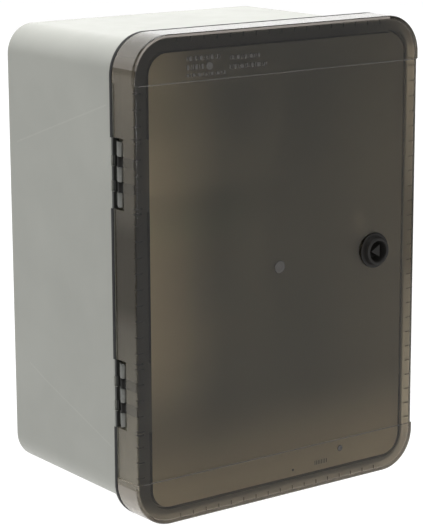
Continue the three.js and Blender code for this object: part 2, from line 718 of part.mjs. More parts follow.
// A flat ribbon that leaves the strip, bows forward and drops to the top of the terminals.
function valveRibbon() {
  const path = new THREE.CatmullRomCurve3([
    new THREE.Vector3(0, -33, -3.6),
    new THREE.Vector3(0, -36, -11),
    new THREE.Vector3(0, -47, -17),
    new THREE.Vector3(0, -49, -25),
    new THREE.Vector3(0, -42.2, -33.4),
  ]);
  const steps = 10;
  const front = [];
  const back = [];
  for (let i = 0; i <= steps; i += 1) {
    const point = path.getPoint(i / steps);
    const way = path.getTangent(i / steps);
    front.push([point.y + 0.7 * way.z, point.z - 0.7 * way.y]);
    back.unshift([point.y - 0.7 * way.z, point.z + 0.7 * way.y]);
  }
  const ribbon = profileX([...front, ...back], TERMINAL_X + 1, TERMINAL_X + 36);
  return piece('valve_ribbon', ribbon, plastic(0x777b7e, 0.6));
}

// The supply link arches from the top of the breaker to the top of the transformer.
function supplyLink() {
  const path = new THREE.CatmullRomCurve3([
    new THREE.Vector3(BREAKER_X, -50, RAIL_Z + 42.4),
    new THREE.Vector3(BREAKER_X + 1, -50, RAIL_Z + 49),
    new THREE.Vector3(BREAKER_X + 15, -50, RAIL_Z + 53),
    new THREE.Vector3(-59, -50, RAIL_Z + 51),
    new THREE.Vector3(-58, -50, RAIL_Z + 45.4),
  ]);
  const section = new THREE.Shape();
  section.absarc(0, 0, 1.3, 0, 2 * Math.PI);
  const options = { steps: 12, extrudePath: path, curveSegments: 3, bevelEnabled: false };
  const wire = new THREE.ExtrudeGeometry(section, options);
  return piece('supply_link', solid(wire), plastic(0x6d3b22, 0.5));
}

// ---------------------------------------------------------------- cable glands

function glandBody(name, x) {
  const wall = -BODY_H / 2;
  const hex = rod('z', 13.9, wall - 6, wall - 0.3, x, GLAND_Y, 6);
  const thread = rod('z', GLAND_THREAD_R, wall - 1, -182, x, GLAND_Y, 16);
  const neck = rod('z', 9.2, wall - 15, wall - 5, x, GLAND_Y, 16);
  const bore = rod('z', 6.2, wall - 20, -180, x, GLAND_Y, 14);
  const body = join([hex, thread, neck]).subtract(bore);
  return piece(name, body, plastic(0x8f9290, 0.5));
}

function glandNut(name, x) {
  const top = -BODY_H / 2 - 6.3;
  const dome = rod('z', 9.6, top - 14, top - 9, x, GLAND_Y, 16, 12.6);
  const grip = rod('z', 12.6, top - 9, top, x, GLAND_Y, 16);
  const inside = rod('z', 9.5, top - 9, top + 1, x, GLAND_Y, 16);
  const mouth = rod('z', 6.6, top - 15, top - 8, x, GLAND_Y, 14);
  return piece(name, join([dome, grip]).subtract(inside.add(mouth)), plastic(0x848785, 0.5));
}

function glandLocknut(name, x) {
  const hex = rod('z', 14.6, -189.7, -185, x, GLAND_Y, 6);
  const bore = rod('z', GLAND_THREAD_R + 0.3, -191, -184, x, GLAND_Y, 16);
  return piece(name, hex.subtract(bore), plastic(0x7d807e, 0.5));
}

// The blanking plug keeps the unused gland shut until its cable is drawn in.
function glandPlug(name, x) {
  const top = -BODY_H / 2 - 6.3;
  const pin = rod('z', 5.8, top - 14.6, -184, x, GLAND_Y, 14);
  const flange = rod('z', 7.6, top - 16.2, top - 14.3, x, GLAND_Y, 14);
  return piece(name, pin.add(flange), plastic(0x2b2b2b, 0.7));
}

// ---------------------------------------------------------------- assembly

function cabinetGroup() {
  const group = new THREE.Group();
  group.add(enclosureBody());
  group.add(hingePin('upper_hinge_pin', HINGE_Z));
  group.add(hingePin('lower_hinge_pin', -HINGE_Z));
  group.add(lockStrike());
  group.add(strikeScrew());
  group.add(mountingPlate());
  let corner = 1;
  for (const sx of [-1, 1]) {
    for (const sz of [-1, 1]) {
      group.add(fixingCap(`fixing_cap_${corner}`, sx * FIXING_X, sz * FIXING_Z));
      group.add(panScrew(`plate_screw_${corner}`, sx * BOSS_X, sz * BOSS_Z, PLATE_FRONT));
      corner += 1;
    }
  }
  GLAND_X.forEach((x, i) => {
    group.add(glandBody(`gland_${i + 1}_body`, x));
    group.add(glandNut(`gland_${i + 1}_nut`, x));
    group.add(glandLocknut(`gland_${i + 1}_locknut`, x));
    group.add(glandPlug(`gland_${i + 1}_plug`, x));
  });
  return group;
}

function doorGroup() {
  const group = new THREE.Group();
  group.add(door());
  group.add(doorGasket());
  group.add(lockHousing());
  group.add(lockNut());
  group.add(lockCore());
  group.add(lockCam());
  group.add(camScrew());
  return group;
}

function timerGroup() {
  const group = new THREE.Group();
  group.add(timerBase());
  group.add(timerFascia());
  group.add(logicBoard());
  group.add(displayWindow());
  group.add(displayPanel());
  group.add(programDial());
  group.add(bypassSlider());
  BUTTON_X.forEach((x, i) => {
    group.add(pushButton(`push_button_${i + 1}`, x));
  });
  return group;
}

function railGroup() {
  const group = new THREE.Group();
  group.add(dinRail());
  group.add(panScrew('rail_screw_1', -RAIL_HALF + 8, RAIL_Z, PLATE_FRONT - 1.3));
  group.add(panScrew('rail_screw_2', RAIL_HALF - 8, RAIL_Z, PLATE_FRONT - 1.3));
  group.add(breakerBody());
  group.add(breakerLever());
  group.add(transformer());
  group.add(endClamp('end_clamp_1', TERMINAL_X - 7.3));
  for (let i = 0; i < TERMINAL_COUNT; i += 1) {
    group.add(terminalBlock(`valve_terminal_${i + 1}`, i));
  }
  group.add(endClamp('end_clamp_2', TERMINAL_X + TERMINAL_COUNT * TERMINAL_PITCH));
  return group;
}

function wiringGroup() {
  const group = new THREE.Group();
  group.add(stationBoard());
  group.add(stationStrip());
  group.add(wireDuct());
  group.add(ductCover());
  group.add(valveRibbon());
  group.add(supplyLink());
  return group;
}

const controller = new THREE.Group();
controller.name = 'irrigation_controller';
controller.add(cabinetGroup());
controller.add(doorGroup());
controller.add(timerGroup());
controller.add(railGroup());
controller.add(wiringGroup());

export default controller;
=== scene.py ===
import math

import bmesh
import bpy
from mathutils import Matrix, Vector


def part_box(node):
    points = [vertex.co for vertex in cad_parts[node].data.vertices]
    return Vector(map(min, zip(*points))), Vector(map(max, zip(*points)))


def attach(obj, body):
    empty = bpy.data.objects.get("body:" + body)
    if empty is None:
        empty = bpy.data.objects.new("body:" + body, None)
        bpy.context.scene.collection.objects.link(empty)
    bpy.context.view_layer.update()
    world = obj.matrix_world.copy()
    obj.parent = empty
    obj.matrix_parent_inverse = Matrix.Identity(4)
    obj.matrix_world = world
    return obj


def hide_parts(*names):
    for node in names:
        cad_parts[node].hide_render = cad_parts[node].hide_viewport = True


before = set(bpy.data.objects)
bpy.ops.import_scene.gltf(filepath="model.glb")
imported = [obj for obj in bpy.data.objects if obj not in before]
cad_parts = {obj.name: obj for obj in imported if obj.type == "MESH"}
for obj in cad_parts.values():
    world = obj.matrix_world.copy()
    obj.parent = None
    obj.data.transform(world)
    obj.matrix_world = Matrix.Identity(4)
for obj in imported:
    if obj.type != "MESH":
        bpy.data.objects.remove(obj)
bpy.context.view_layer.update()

# ------------------------------------------------------------------ sizes, in millimetres

MM = 0.001


def box_of(node):
    """The low corner, the middle and the high corner of a CAD node."""
    lo, hi = (Vector(corner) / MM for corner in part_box(node))
    return lo, (lo + hi) / 2, hi


WALL = 3
CORNER_STEPS = 14
WELD = 0.001
SMOOTH_ANGLE = 35

# Outlines of the box, its sealing lip, the door and the door's rib: width, height, corner radius.
DOOR_LO, _, DOOR_HI = box_of("door")
DOOR = (2 * DOOR_HI.x, DOOR_HI.z - DOOR_LO.z, 33.1)
BODY = (277, 386, 25.4)
LIP = (273, 382, 23.4)
RIB = (267.8, 375.8, 19.9)

BODY_LO = box_of("enclosure_body")[0]
FLANGE_FRONT = -171.8
FLANGE_BACK = -167.8
FLANGE_EDGE = 0.7
FLANGE_FILLET = 1.2
BACK_EDGE = 2
BACK_INSIDE = -3.5
INSIDE_FILLET = 3
LIP_WALL = 2.5
LIP_EDGE = 0.6
SILL = -165
WALL_SCREW_R = 3.2
GLAND_R = 10.3

DOOR_FRONT = DOOR_LO.y
DOOR_BACK = DOOR_HI.y
DOOR_INSIDE = DOOR_FRONT + WALL
DOOR_EDGE = 2.4
DOOR_REAR_EDGE = 0.6
TRAY_FILLET = 0.8
RIB_FRONT = DOOR_INSIDE - 0.6
RIB_BACK = -191.6
RIB_WALL = 2.4
TICK_BACK = -197.3
TICK_PITCH = 13
TICK_WIDTH = 0.9
LINE_Z = 161.5
LINE_HALF = 0.35
SIDE_SET_IN = 1.2
FACE_SET_IN = 0.35
END_TOP = 174
END_LOW = -167.5

PINS = [box_of(f"{label}_hinge_pin")[1] for label in ("upper", "lower")]
HINGE_X = PINS[0].x
HINGE_Y = PINS[0].y
HINGES = [pin.z for pin in PINS]
HINGE_HALF = 28.2
KNUCKLE_PITCH = 20.3
KNUCKLE_H = 11.6
PIN_R = 1.2
PIN_BORE = 1.45

LOCK_LO, LOCK, _ = box_of("lock_housing")
LOCK_HOLE_R = 10.8
SCREW_SHANK = 1.5
POINTS_PER_RIB = 6

# The camera, the floor and the lights are in metres.
CAMERA_PLACE = (-1.03377, -1.50858, 0.37761)
CAMERA_TURN = (77.2812, 0.2366, -36.4020)
CAMERA_LENS = 140.24
FLOOR_DROP = 0.025
FLOOR_HALF = 12


# ------------------------------------------------------------------ camera, floor and light

def new_object(name, data):
    obj = bpy.data.objects.new(name, data)
    bpy.context.scene.collection.objects.link(obj)
    return obj


def make_camera():
    data = bpy.data.cameras.new("camera")
    data.lens = CAMERA_LENS
    data.sensor_width = 36
    data.clip_start = 0.05
    data.clip_end = 50
    camera = new_object("camera", data)
    camera.location = CAMERA_PLACE
    camera.rotation_euler = [math.radians(a) for a in CAMERA_TURN]
    bpy.context.scene.camera = camera


def area_light(name, place, target, power, width, height=None):
    data = bpy.data.lights.new(name, "AREA")
    data.shape = "RECTANGLE"
    data.size = width
    data.size_y = height or width
    data.energy = power
    light = new_object(name, data)
    light.location = place
    light.visible_camera = False
    way = Vector(place) - Vector(target)
    light.rotation_euler = way.to_track_quat("Z", "Y").to_euler()
    return light


def make_floor():
    low = BODY_LO.z * MM - FLOOR_DROP
    corners = [(x * FLOOR_HALF, y * FLOOR_HALF, low) for x, y in ((-1, -1), (1, -1), (1, 1), (-1, 1))]
    mesh = bpy.data.meshes.new("floor")
    mesh.from_pydata(corners, [], [(0, 1, 2, 3)])
    floor = new_object("floor", mesh)
    material, _, shader = blank_material("floor_white")
    shader.inputs["Base Color"].default_value = (0.12, 0.12, 0.12, 1)
    shader.inputs["Roughness"].default_value = 0.9
    shader.inputs["Emission Color"].default_value = (1, 1, 1, 1)
    shader.inputs["Emission Strength"].default_value = 0.98
    mesh.materials.append(material)


def make_light():
    """Soft studio light. The top and back lights aren't seen through the door, which keeps its
    smoke free of speckle."""
    scene = bpy.context.scene
    scene.view_settings.view_transform = "Standard"
    scene.world = bpy.data.worlds.new("studio")
    scene.world.use_nodes = True
    background = scene.world.node_tree.nodes["Background"]
    background.inputs["Color"].default_value = (0.93, 0.96, 1.0, 1)
    background.inputs["Strength"].default_value = 0.15
    top = area_light("top_light", (0.0, 0.05, 1.5), (0, -0.1, 0), 30, 1.4)
    area_light("left_light", (-2.2, 0.3, 0.4), (0, -0.1, 0), 0.8, 1.3)
    area_light("front_light", (-0.1, -1.25, 0.3), (0, -0.2, 0), 6, 0.35, 1.0)
    backdrop = area_light("backdrop_light", (0.7, 2.7, 1.45), (0, 0, 0.1), 98, 6.4, 2.6)
    for light in (top, backdrop):
        light.visible_transmission = False


# ------------------------------------------------------------------ mesh helpers, in millimetres

def mesh_object(name, verts, faces):
    mesh = bpy.data.meshes.new(name)
    mesh.from_pydata([tuple(MM * part for part in vert) for vert in verts], [], faces)
    fix = bmesh.new()
    fix.from_mesh(mesh)
    bmesh.ops.remove_doubles(fix, verts=fix.verts, dist=WELD * MM)
    bmesh.ops.recalc_face_normals(fix, faces=fix.faces)
    fix.to_mesh(mesh)
    fix.free()
    obj = new_object(name, mesh)
    shade(obj)
    return obj


def shade(obj, angle=SMOOTH_ANGLE):
    """Smooth shading, with edges kept sharp where the faces turn by more than the angle."""
    mesh = obj.data
    mesh.shade_smooth()
    fix = bmesh.new()
    fix.from_mesh(mesh)
    limit = math.radians(angle)
    for edge in fix.edges:
        edge.smooth = edge.is_manifold and edge.calc_face_angle(math.pi) < limit
    fix.to_mesh(mesh)
    fix.free()


def bake(obj, angle=SMOOTH_ANGLE):
    """Applies the object's modifiers and shades the result."""
    depsgraph = bpy.context.evaluated_depsgraph_get()
    done = bpy.data.meshes.new_from_object(obj.evaluated_get(depsgraph))
    obj.modifiers.clear()
    old = obj.data
    obj.data = done
    if old.users == 0:
        bpy.data.meshes.remove(old)
    shade(obj, angle)


def boolean(obj, others, operation):
    """Joins the others to the object or cuts them from it, and removes them."""
    for other in others:
        modifier = obj.modifiers.new("cut", "BOOLEAN")
        modifier.operation = operation
        modifier.solver = "EXACT"
        modifier.object = other
    bake(obj)
    for other in others:
        bpy.data.objects.remove(other)


def bevel(obj, width, segments=2, angle=40):
    modifier = obj.modifiers.new("bevel", "BEVEL")
    modifier.width = width * MM
    modifier.segments = segments
    modifier.limit_method = "ANGLE"
    modifier.angle_limit = math.radians(angle)
    modifier.harden_normals = False
    bake(obj, angle)


def place_piece(obj, material, body, instead_of=None):
    """Gives a piece its material, the body it rides on and the CAD node that it stands for."""
    obj.data.materials.clear()
    obj.data.materials.append(material)
    for face in obj.data.polygons:
        face.material_index = 0
    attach(obj, body)
    if instead_of:
        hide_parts(instead_of)


def arc(start, end, steps):
    return [math.radians(start + (end - start) * i / steps) for i in range(steps + 1)]


def loop(outline, inset, y, levels=()):
    """A rounded rectangle at depth y, drawn in from its outline by the inset: right side, top,
    left side and bottom in turn. Each level adds a point on either side."""
    width, height, radius = outline[0] - 2 * inset, outline[1] - 2 * inset, outline[2] - inset
    dx = width / 2 - radius
    dz = height / 2 - radius
    points = []
    for sx, sz, start in ((1, 1, 0), (-1, 1, 90), (-1, -1, 180), (1, -1, 270)):
        for a in arc(start, start + 90, CORNER_STEPS):
            points.append(Vector((sx * dx + radius * math.cos(a), y, sz * dz + radius * math.sin(a))))
        if start == 90:
            points += [Vector((-width / 2, y, z)) for z in sorted(levels, reverse=True)]
        if start == 270:
            points += [Vector((width / 2, y, z)) for z in sorted(levels)]
    return points


def rounding(outline, inset, size, face_y, way, steps, from_face=False, flare=1, levels=()):
    """Loops of a quarter round between a flat face and the side that runs from it. The side lies
    towards +Y where way is 1. They run from the side to the face, or back if from_face is set. A
    flare of -1 turns the round outwards."""
    loops = []
    for a in arc(90, 0, steps) if from_face else arc(0, 90, steps):
        out = inset + flare * size * (1 - math.cos(a))
        loops.append(loop(outline, out, face_y + way * size * (1 - math.sin(a)), levels))
    return loops


def inside(outline, inset, x, z):
    width, height, radius = outline[0] - 2 * inset, outline[1] - 2 * inset, outline[2] - inset
    dx = max(abs(x) - (width / 2 - radius), 0)
    dz = max(abs(z) - (height / 2 - radius), 0)
    return math.hypot(dx, dz) < radius


def strips(count, levels):
    """Faces that close a loop in level strips, so that a line can run across it."""
    arc_points = CORNER_STEPS + 1
    left = list(range(arc_points, 3 * arc_points + levels))
    right = list(range(arc_points))[::-1] + list(range(3 * arc_points + levels, count))[::-1]
    return [(left[i], left[i + 1], right[i + 1], right[i]) for i in range(len(left) - 1)]


def skin(name, loops, levels=0, ring=False):
    """A body from loops of equal count. A ring joins its last loop to its first, and anything
    else is closed at both ends."""
    count = len(loops[0])
    verts = [point for one in loops for point in one]
    pairs = list(zip(range(len(loops)), range(1, len(loops))))
    if ring:
        pairs.append((len(loops) - 1, 0))
    faces = []
    for a, b in pairs:
        for i in range(count):
            j = (i + 1) % count
            faces.append((a * count + i, b * count + i, b * count + j, a * count + j))
    if not ring:
        for base in (0, (len(loops) - 1) * count):
            faces += [tuple(base + i for i in face) for face in strips(count, levels)]
    return mesh_object(name, verts, faces)


def boxes(name, parts):
    """Boxes given by their limits (x0, x1, y0, y1, z0, z1), all one object."""
    sides = ((0, 1, 3, 2), (4, 6, 7, 5), (0, 4, 5, 1), (2, 3, 7, 6), (0, 2, 6, 4), (1, 5, 7, 3))
    verts = []
    faces = []
    for x0, x1, y0, y1, z0, z1 in parts:
        faces += [tuple(len(verts) + i for i in side) for side in sides]
        verts += [(x, y, z) for x in (x0, x1) for y in (y0, y1) for z in (z0, z1)]
    return mesh_object(name, verts, faces)


def bar(x, z, width, height, y0, y1):
    """The limits of a box whose front is centred on x and z."""
    return x - width / 2, x + width / 2, y0, y1, z - height / 2, z + height / 2


def turned(profile, centre, axis, steps):
    """Vertices and faces of a profile of (radius, along) points turned about an axis. One that
    starts off the axis is a closed outline, and gives a ring."""
    verts = []
    rows = []
    for radius, along in profile:
        ring_steps = steps if radius > 0 else 1
        rows.append(range(len(verts), len(verts) + ring_steps))
        for i in range(ring_steps):
            a = 2 * math.pi * i / steps
            c, s = radius * math.cos(a), radius * math.sin(a)
            offset = {"x": (along, c, s), "y": (c, along, s), "z": (c, s, along)}[axis]
            verts.append(Vector(centre) + Vector(offset))
    if profile[0][0] > 0:
        rows.append(rows[0])
    faces = []
    for a, b in zip(rows, rows[1:]):
        for i in range(steps):
            j = (i + 1) % steps
            corners = (a[i % len(a)], b[i % len(b)], b[j % len(b)], a[j % len(a)])
            unique = tuple(dict.fromkeys(corners))
            if len(unique) > 2:
                faces.append(unique)
    return verts, faces


def spun(name, profile, centre, axis="y", steps=64):
    return mesh_object(name, *turned(profile, centre, axis, steps))


def rod(name, radius, start, end, centre, axis="y", steps=32):
    return spun(name, [(0, start), (radius, start), (radius, end), (0, end)], centre, axis, steps)


def prism(name, outline, z0, z1):
    """An outline of (x, y) points carried from z0 to z1."""
    n = len(outline)
    verts = [(x, y, z) for z in (z0, z1) for x, y in outline]
    faces = [tuple(range(n)), tuple(range(n, 2 * n))]
    faces += [(i, (i + 1) % n, n + (i + 1) % n, n + i) for i in range(n)]
    return mesh_object(name, verts, faces)


def raised(name, parts, material, body, soften):
    """Small moulded or printed marks: bars with softened edges."""
    marks = boxes(name, parts)
    bevel(marks, soften)
    place_piece(marks, material, body)


def ribbed(name, rings, count, centre, axis):
    """A knob or nut with rounded grip ribs, from rings of (radius, depth of the ribs, along)."""
    n = count * POINTS_PER_RIB
    verts = []
    for radius, depth, along in rings:
        for i in range(n):
            a = 2 * math.pi * i / n
            r = radius - depth * (0.5 - 0.5 * math.cos(count * a))
            c, s = r * math.cos(a), r * math.sin(a)
            verts.append(Vector(centre) + Vector((c, along, s) if axis == "y" else (c, s, along)))
    faces = [tuple(range(n)), tuple(range(len(verts) - n, len(verts)))]
    for k in range(len(rings) - 1):
        a, b = k * n, (k + 1) * n
        faces += [(a + i, a + (i + 1) % n, b + (i + 1) % n, b + i) for i in range(n)]
    return mesh_object(name, verts, faces)


# ------------------------------------------------------------------ materials

SMOKED_IOR = 1.33
WARM_GLOSS = (1, 0.94, 0.78, 1)
FROST_CLEAR = 0.7
FROST_DARK = (0.11, 0.105, 0.09)
# The lighter frosted tint below is a painted glow, for light seen through the door.
FROST_GLOW = (0.90, 0.76, 0.54)
# The band's tints: the dark one is painted shade, the lighter one painted light.
BAND_SHADE = (0.03, 0.026, 0.02)
BAND_LIT = (0.46, 0.41, 0.33)
CABINET_COLOUR = (0.345, 0.35, 0.312)
FLOW_LINES = (((-13, 94), (-152, 141.5)), ((-26, -98), (-51, -108)), ((-51, -108), (-152, -142)))
FLOW_WIDTH = 1.1
FLOW_STRENGTH = 0.22
BOARD_COLOUR = (0.02, 0.17, 0.07)
GRAIN_DEPTH = 0.03
BRUSH_DEPTH = 0.05


def blank_material(name):
    material = bpy.data.materials.new(name)
    material.use_nodes = True
    tree = material.node_tree
    return material, tree, tree.nodes["Principled BSDF"]


def coords(tree, scale=(1, 1, 1)):
    place = tree.nodes.new("ShaderNodeTexCoord")
    mapping = tree.nodes.new("ShaderNodeMapping")
    mapping.inputs["Scale"].default_value = scale
    tree.links.new(place.outputs["Object"], mapping.inputs["Vector"])
    return mapping.outputs["Vector"]


def noise(tree, vector, scale, detail=3, roughness=0.5):
    node = tree.nodes.new("ShaderNodeTexNoise")
    node.inputs["Scale"].default_value = scale
    node.inputs["Detail"].default_value = detail
    node.inputs["Roughness"].default_value = roughness
    tree.links.new(vector, node.inputs["Vector"])
    return node.outputs["Fac"]


def ramp(tree, factor, stops):
    node = tree.nodes.new("ShaderNodeValToRGB")
    elements = node.color_ramp.elements
    while len(elements) < len(stops):
        elements.new(0.5)
    for element, (where, colour) in zip(elements, stops):
        element.position = where
        element.color = (*colour, 1)
    tree.links.new(factor, node.inputs["Fac"])
    return node.outputs["Color"]


def spread_value(tree, factor, low, high):
    node = tree.nodes.new("ShaderNodeMapRange")
    node.inputs["To Min"].default_value = low
    node.inputs["To Max"].default_value = high
    tree.links.new(factor, node.inputs["Value"])
    return node.outputs["Result"]


def fade(tree, value, start, end, low=0.0, high=1.0):
    """A smooth rise from low at start to high at end, for a place given in millimetres."""
    node = tree.nodes.new("ShaderNodeMapRange")
    node.interpolation_type = "SMOOTHSTEP"
    numbers = (start * MM, end * MM, low, high)
    for name, number in zip(("From Min", "From Max", "To Min", "To Max"), numbers):
        node.inputs[name].default_value = number
    tree.links.new(value, node.inputs["Value"])
    return node.outputs["Result"]


def bump(tree, shader, height, strength, depth):
    node = tree.nodes.new("ShaderNodeBump")
    node.inputs["Strength"].default_value = strength
    node.inputs["Distance"].default_value = depth * MM
    tree.links.new(height, node.inputs["Height"])
    tree.links.new(node.outputs["Normal"], shader.inputs["Normal"])


def math_node(tree, operation, a, b=None, clamp=False):
    node = tree.nodes.new("ShaderNodeMath")
    node.operation = operation
    node.use_clamp = clamp
    for socket, value in zip(node.inputs, (a, b)):
        if isinstance(value, (int, float)):
            socket.default_value = value
        elif value is not None:
            tree.links.new(value, socket)
    return node.outputs[0]


def combine(tree, operation, first, *others, clamp=False):
    for other in others:
        first = math_node(tree, operation, first, other, clamp)
    return first


def axis_value(tree, axis):
    """The object's own x, y or z in metres."""
    place = tree.nodes.new("ShaderNodeTexCoord")
    split = tree.nodes.new("ShaderNodeSeparateXYZ")
    tree.links.new(place.outputs["Object"], split.inputs["Vector"])
    return split.outputs[axis]


def overlay(material, mask, colour):
    """Lays another colour over the material's own where the mask is 1."""
    tree = material.node_tree
    base = tree.nodes["Principled BSDF"].inputs["Base Color"]
    mix = tree.nodes.new("ShaderNodeMix")
    mix.data_type = "RGBA"
    tree.links.new(mask, mix.inputs["Factor"])
    tree.links.new(base.links[0].from_socket, mix.inputs[6])
    mix.inputs[7].default_value = (*colour, 1)
    tree.links.new(mix.outputs[2], base)


def tint(colour, factor):
    return tuple(min(1.0, c * factor) for c in colour)


def drifting(tree, shader, factor, colour, dark, light):
    """A base colour that drifts between a darker and a lighter tone."""
    stops = [(0.3, tint(colour, dark)), (0.7, tint(colour, light))]
    tree.links.new(ramp(tree, factor, stops), shader.inputs["Base Color"])


def plastic(name, colour, roughness=0.45, grain=1500, grain_strength=0.25, tone=0.05, specular=0.5):
    """Moulded plastic: a slow drift of tone, a fine moulded grain and uneven gloss."""
    material, tree, shader = blank_material(name)
    shader.inputs["Specular IOR Level"].default_value = specular
    place = coords(tree)
    drifting(tree, shader, noise(tree, place, 14, 3), colour, 1 - tone, 1 + tone)
    patch = noise(tree, place, 60, 4)
    gloss = spread_value(tree, patch, roughness - 0.06, roughness + 0.06)
    tree.links.new(gloss, shader.inputs["Roughness"])
    bump(tree, shader, noise(tree, place, grain, 2, 0.6), grain_strength, GRAIN_DEPTH)
    return material


def metal(name, colour, roughness=0.35, brushed=(1, 1, 30)):
    material, tree, shader = blank_material(name)
    shader.inputs["Metallic"].default_value = 1
    lines = noise(tree, coords(tree, brushed), 120, 4, 0.7)
    drifting(tree, shader, lines, colour, 0.88, 1.08)
    gloss = spread_value(tree, lines, roughness - 0.08, roughness + 0.1)
    tree.links.new(gloss, shader.inputs["Roughness"])
    bump(tree, shader, lines, 0.12, BRUSH_DEPTH)
    return material


def smoked_base(name, roughness, transmission=1.0):
    """Clear plastic with uneven gloss. The caller gives it a smoke tint."""
    material, tree, shader = blank_material(name)
    shader.inputs["Transmission Weight"].default_value = transmission
    shader.inputs["IOR"].default_value = SMOKED_IOR
    patch = noise(tree, coords(tree), 40, 3)
    gloss = spread_value(tree, patch, roughness * 0.85, roughness * 1.15)
    tree.links.new(gloss, shader.inputs["Roughness"])
    return material, tree, shader


def smoked(name, roughness, colour):
    material, tree, shader = smoked_base(name, roughness)
    drifting(tree, shader, noise(tree, coords(tree), 9, 3), colour, 0.95, 1.05)
    return material


def smoked_painted_by_height(name, roughness, transmission, stops):
    """Smoked plastic whose tint is painted lighter and darker up the door, as painted light and
    shade: 0 is its bottom, 1 its top.
    """
    material, tree, shader = smoked_base(name, roughness, transmission)
    shader.inputs["Specular Tint"].default_value = WARM_GLOSS
    share = math_node(tree, "MULTIPLY", axis_value(tree, "Z"), 1 / (DOOR[1] * MM))
    height = math_node(tree, "ADD", share, 0.5)
    tree.links.new(ramp(tree, height, stops), shader.inputs["Base Color"])
    return material


def smoked_frosted():
    """The frosted inner face. It is slightly milky, and its tint is painted lighter towards the
    hinges, the bottom and the right-hand edge: a painted glow that stands for light coming
    through the door."""
    material, tree, shader = smoked_base("smoked_frosted", 0.42, FROST_CLEAR)
    x = axis_value(tree, "X")
    z = axis_value(tree, "Z")
    # Painted glow: the tint lightens towards the hinge side, the bottom and the right.
    left = fade(tree, x, -55, -150)
    left_high = fade(tree, z, 175, 10, 0.55, 1.0)
    left_low = fade(tree, z, -140, -40, 0.25, 1.0)
    left = combine(tree, "MULTIPLY", left, left_high, left_low)
    low = fade(tree, z, -100, -195, 0.0, 0.8)
    right = fade(tree, x, 20, 140, 0.0, 0.16)
    rise = fade(tree, z, 190, 0, 0.0, 0.1)
    drift = spread_value(tree, noise(tree, coords(tree), 7, 2), -0.03, 0.03)
    total = combine(tree, "ADD", left, low, right, rise, drift, clamp=True)
    stops = [(0.0, FROST_DARK), (1.0, FROST_GLOW)]
    tree.links.new(ramp(tree, total, stops), shader.inputs["Base Color"])
    return material


def smoked_band():
    """The inner face outside the rib, its tint painted with light and shade: dark at the hinges
    as painted shade, lighter at the right and bottom as painted light.
    """
    material, tree, shader = smoked_base("smoked_band", 0.3, 0.8)
    x = axis_value(tree, "X")
    z = axis_value(tree, "Z")
    right = fade(tree, x, 60, 140)
    high = fade(tree, z, 150, 190, 1.0, 0.35)
    low = fade(tree, z, -165, -192)
    lower = fade(tree, z, -60, -190, 0.0, 0.4)
    light = combine(tree, "MAXIMUM", math_node(tree, "MULTIPLY", right, high), low, lower)
    stops = [(0.0, BAND_SHADE), (1.0, BAND_LIT)]
    tree.links.new(ramp(tree, light, stops), shader.inputs["Base Color"])
    return material


def line_mask(tree, start, end):
    """1 on a thin line between two (y, z) points of the cabinet's side, 0 elsewhere."""
    run = Vector(end) - Vector(start)
    ny, nz = -run.y / run.length, run.x / run.length
    y = axis_value(tree, "Y")
    z = axis_value(tree, "Z")
    across = math_node(tree, "ADD", math_node(tree, "MULTIPLY", y, ny), math_node(tree, "MULTIPLY", z, nz))
    across = math_node(tree, "SUBTRACT", across, (start[0] * ny + start[1] * nz) * MM)
    on_line = fade(tree, math_node(tree, "ABSOLUTE", across), FLOW_WIDTH, 0)
    along = math_node(tree, "SUBTRACT", y, (start[0] + end[0]) / 2 * MM)
    within = math_node(tree, "LESS_THAN", math_node(tree, "ABSOLUTE", along), abs(run.x) / 2 * MM)
    return math_node(tree, "MULTIPLY", on_line, within)


def cabinet_plastic():
    """The cabinet's grey, with the faint flow lines that moulding leaves on its left side."""
    material = plastic("cabinet_grey", CABINET_COLOUR, 0.46)
    tree = material.node_tree
    side = math_node(tree, "LESS_THAN", axis_value(tree, "X"), (2 - BODY[0] / 2) * MM)
    lines = combine(tree, "MAXIMUM", *[line_mask(tree, start, end) for start, end in FLOW_LINES])
    mask = combine(tree, "MULTIPLY", lines, side, FLOW_STRENGTH)
    overlay(material, mask, tint(CABINET_COLOUR, 1.5))
    return material


def zoned(name, colour, front_colour, depth):
    """Plastic in two tones that meet at a set depth, such as a board and what is soldered on it."""
    material = plastic(name, colour)
    tree = material.node_tree
    overlay(material, math_node(tree, "LESS_THAN", axis_value(tree, "Y"), depth * MM), front_colour)
    return material


def striped(name, colour, stripe_colour, pitch, share=0.5, roughness=0.5):
    """Even upright stripes, for ribbon cable and the display."""
    material = plastic(name, colour, roughness)
    tree = material.node_tree
    turns = math_node(tree, "MULTIPLY", axis_value(tree, "X"), 1 / (pitch * MM))
    mask = math_node(tree, "LESS_THAN", math_node(tree, "FRACT", turns), share)
    overlay(material, mask, stripe_colour)
    return material


def window_clear():
    material, tree, shader = blank_material("window_clear")
    shader.inputs["Transmission Weight"].default_value = 0.92
    shader.inputs["IOR"].default_value = 1.45
    drift = noise(tree, coords(tree), 12, 2)
    stops = [(0.3, (0.86, 0.90, 0.87)), (0.7, (0.92, 0.95, 0.92))]
    tree.links.new(ramp(tree, drift, stops), shader.inputs["Base Color"])
    patch = noise(tree, coords(tree), 50, 3)
    tree.links.new(spread_value(tree, patch, 0.03, 0.09), shader.inputs["Roughness"])
    return material


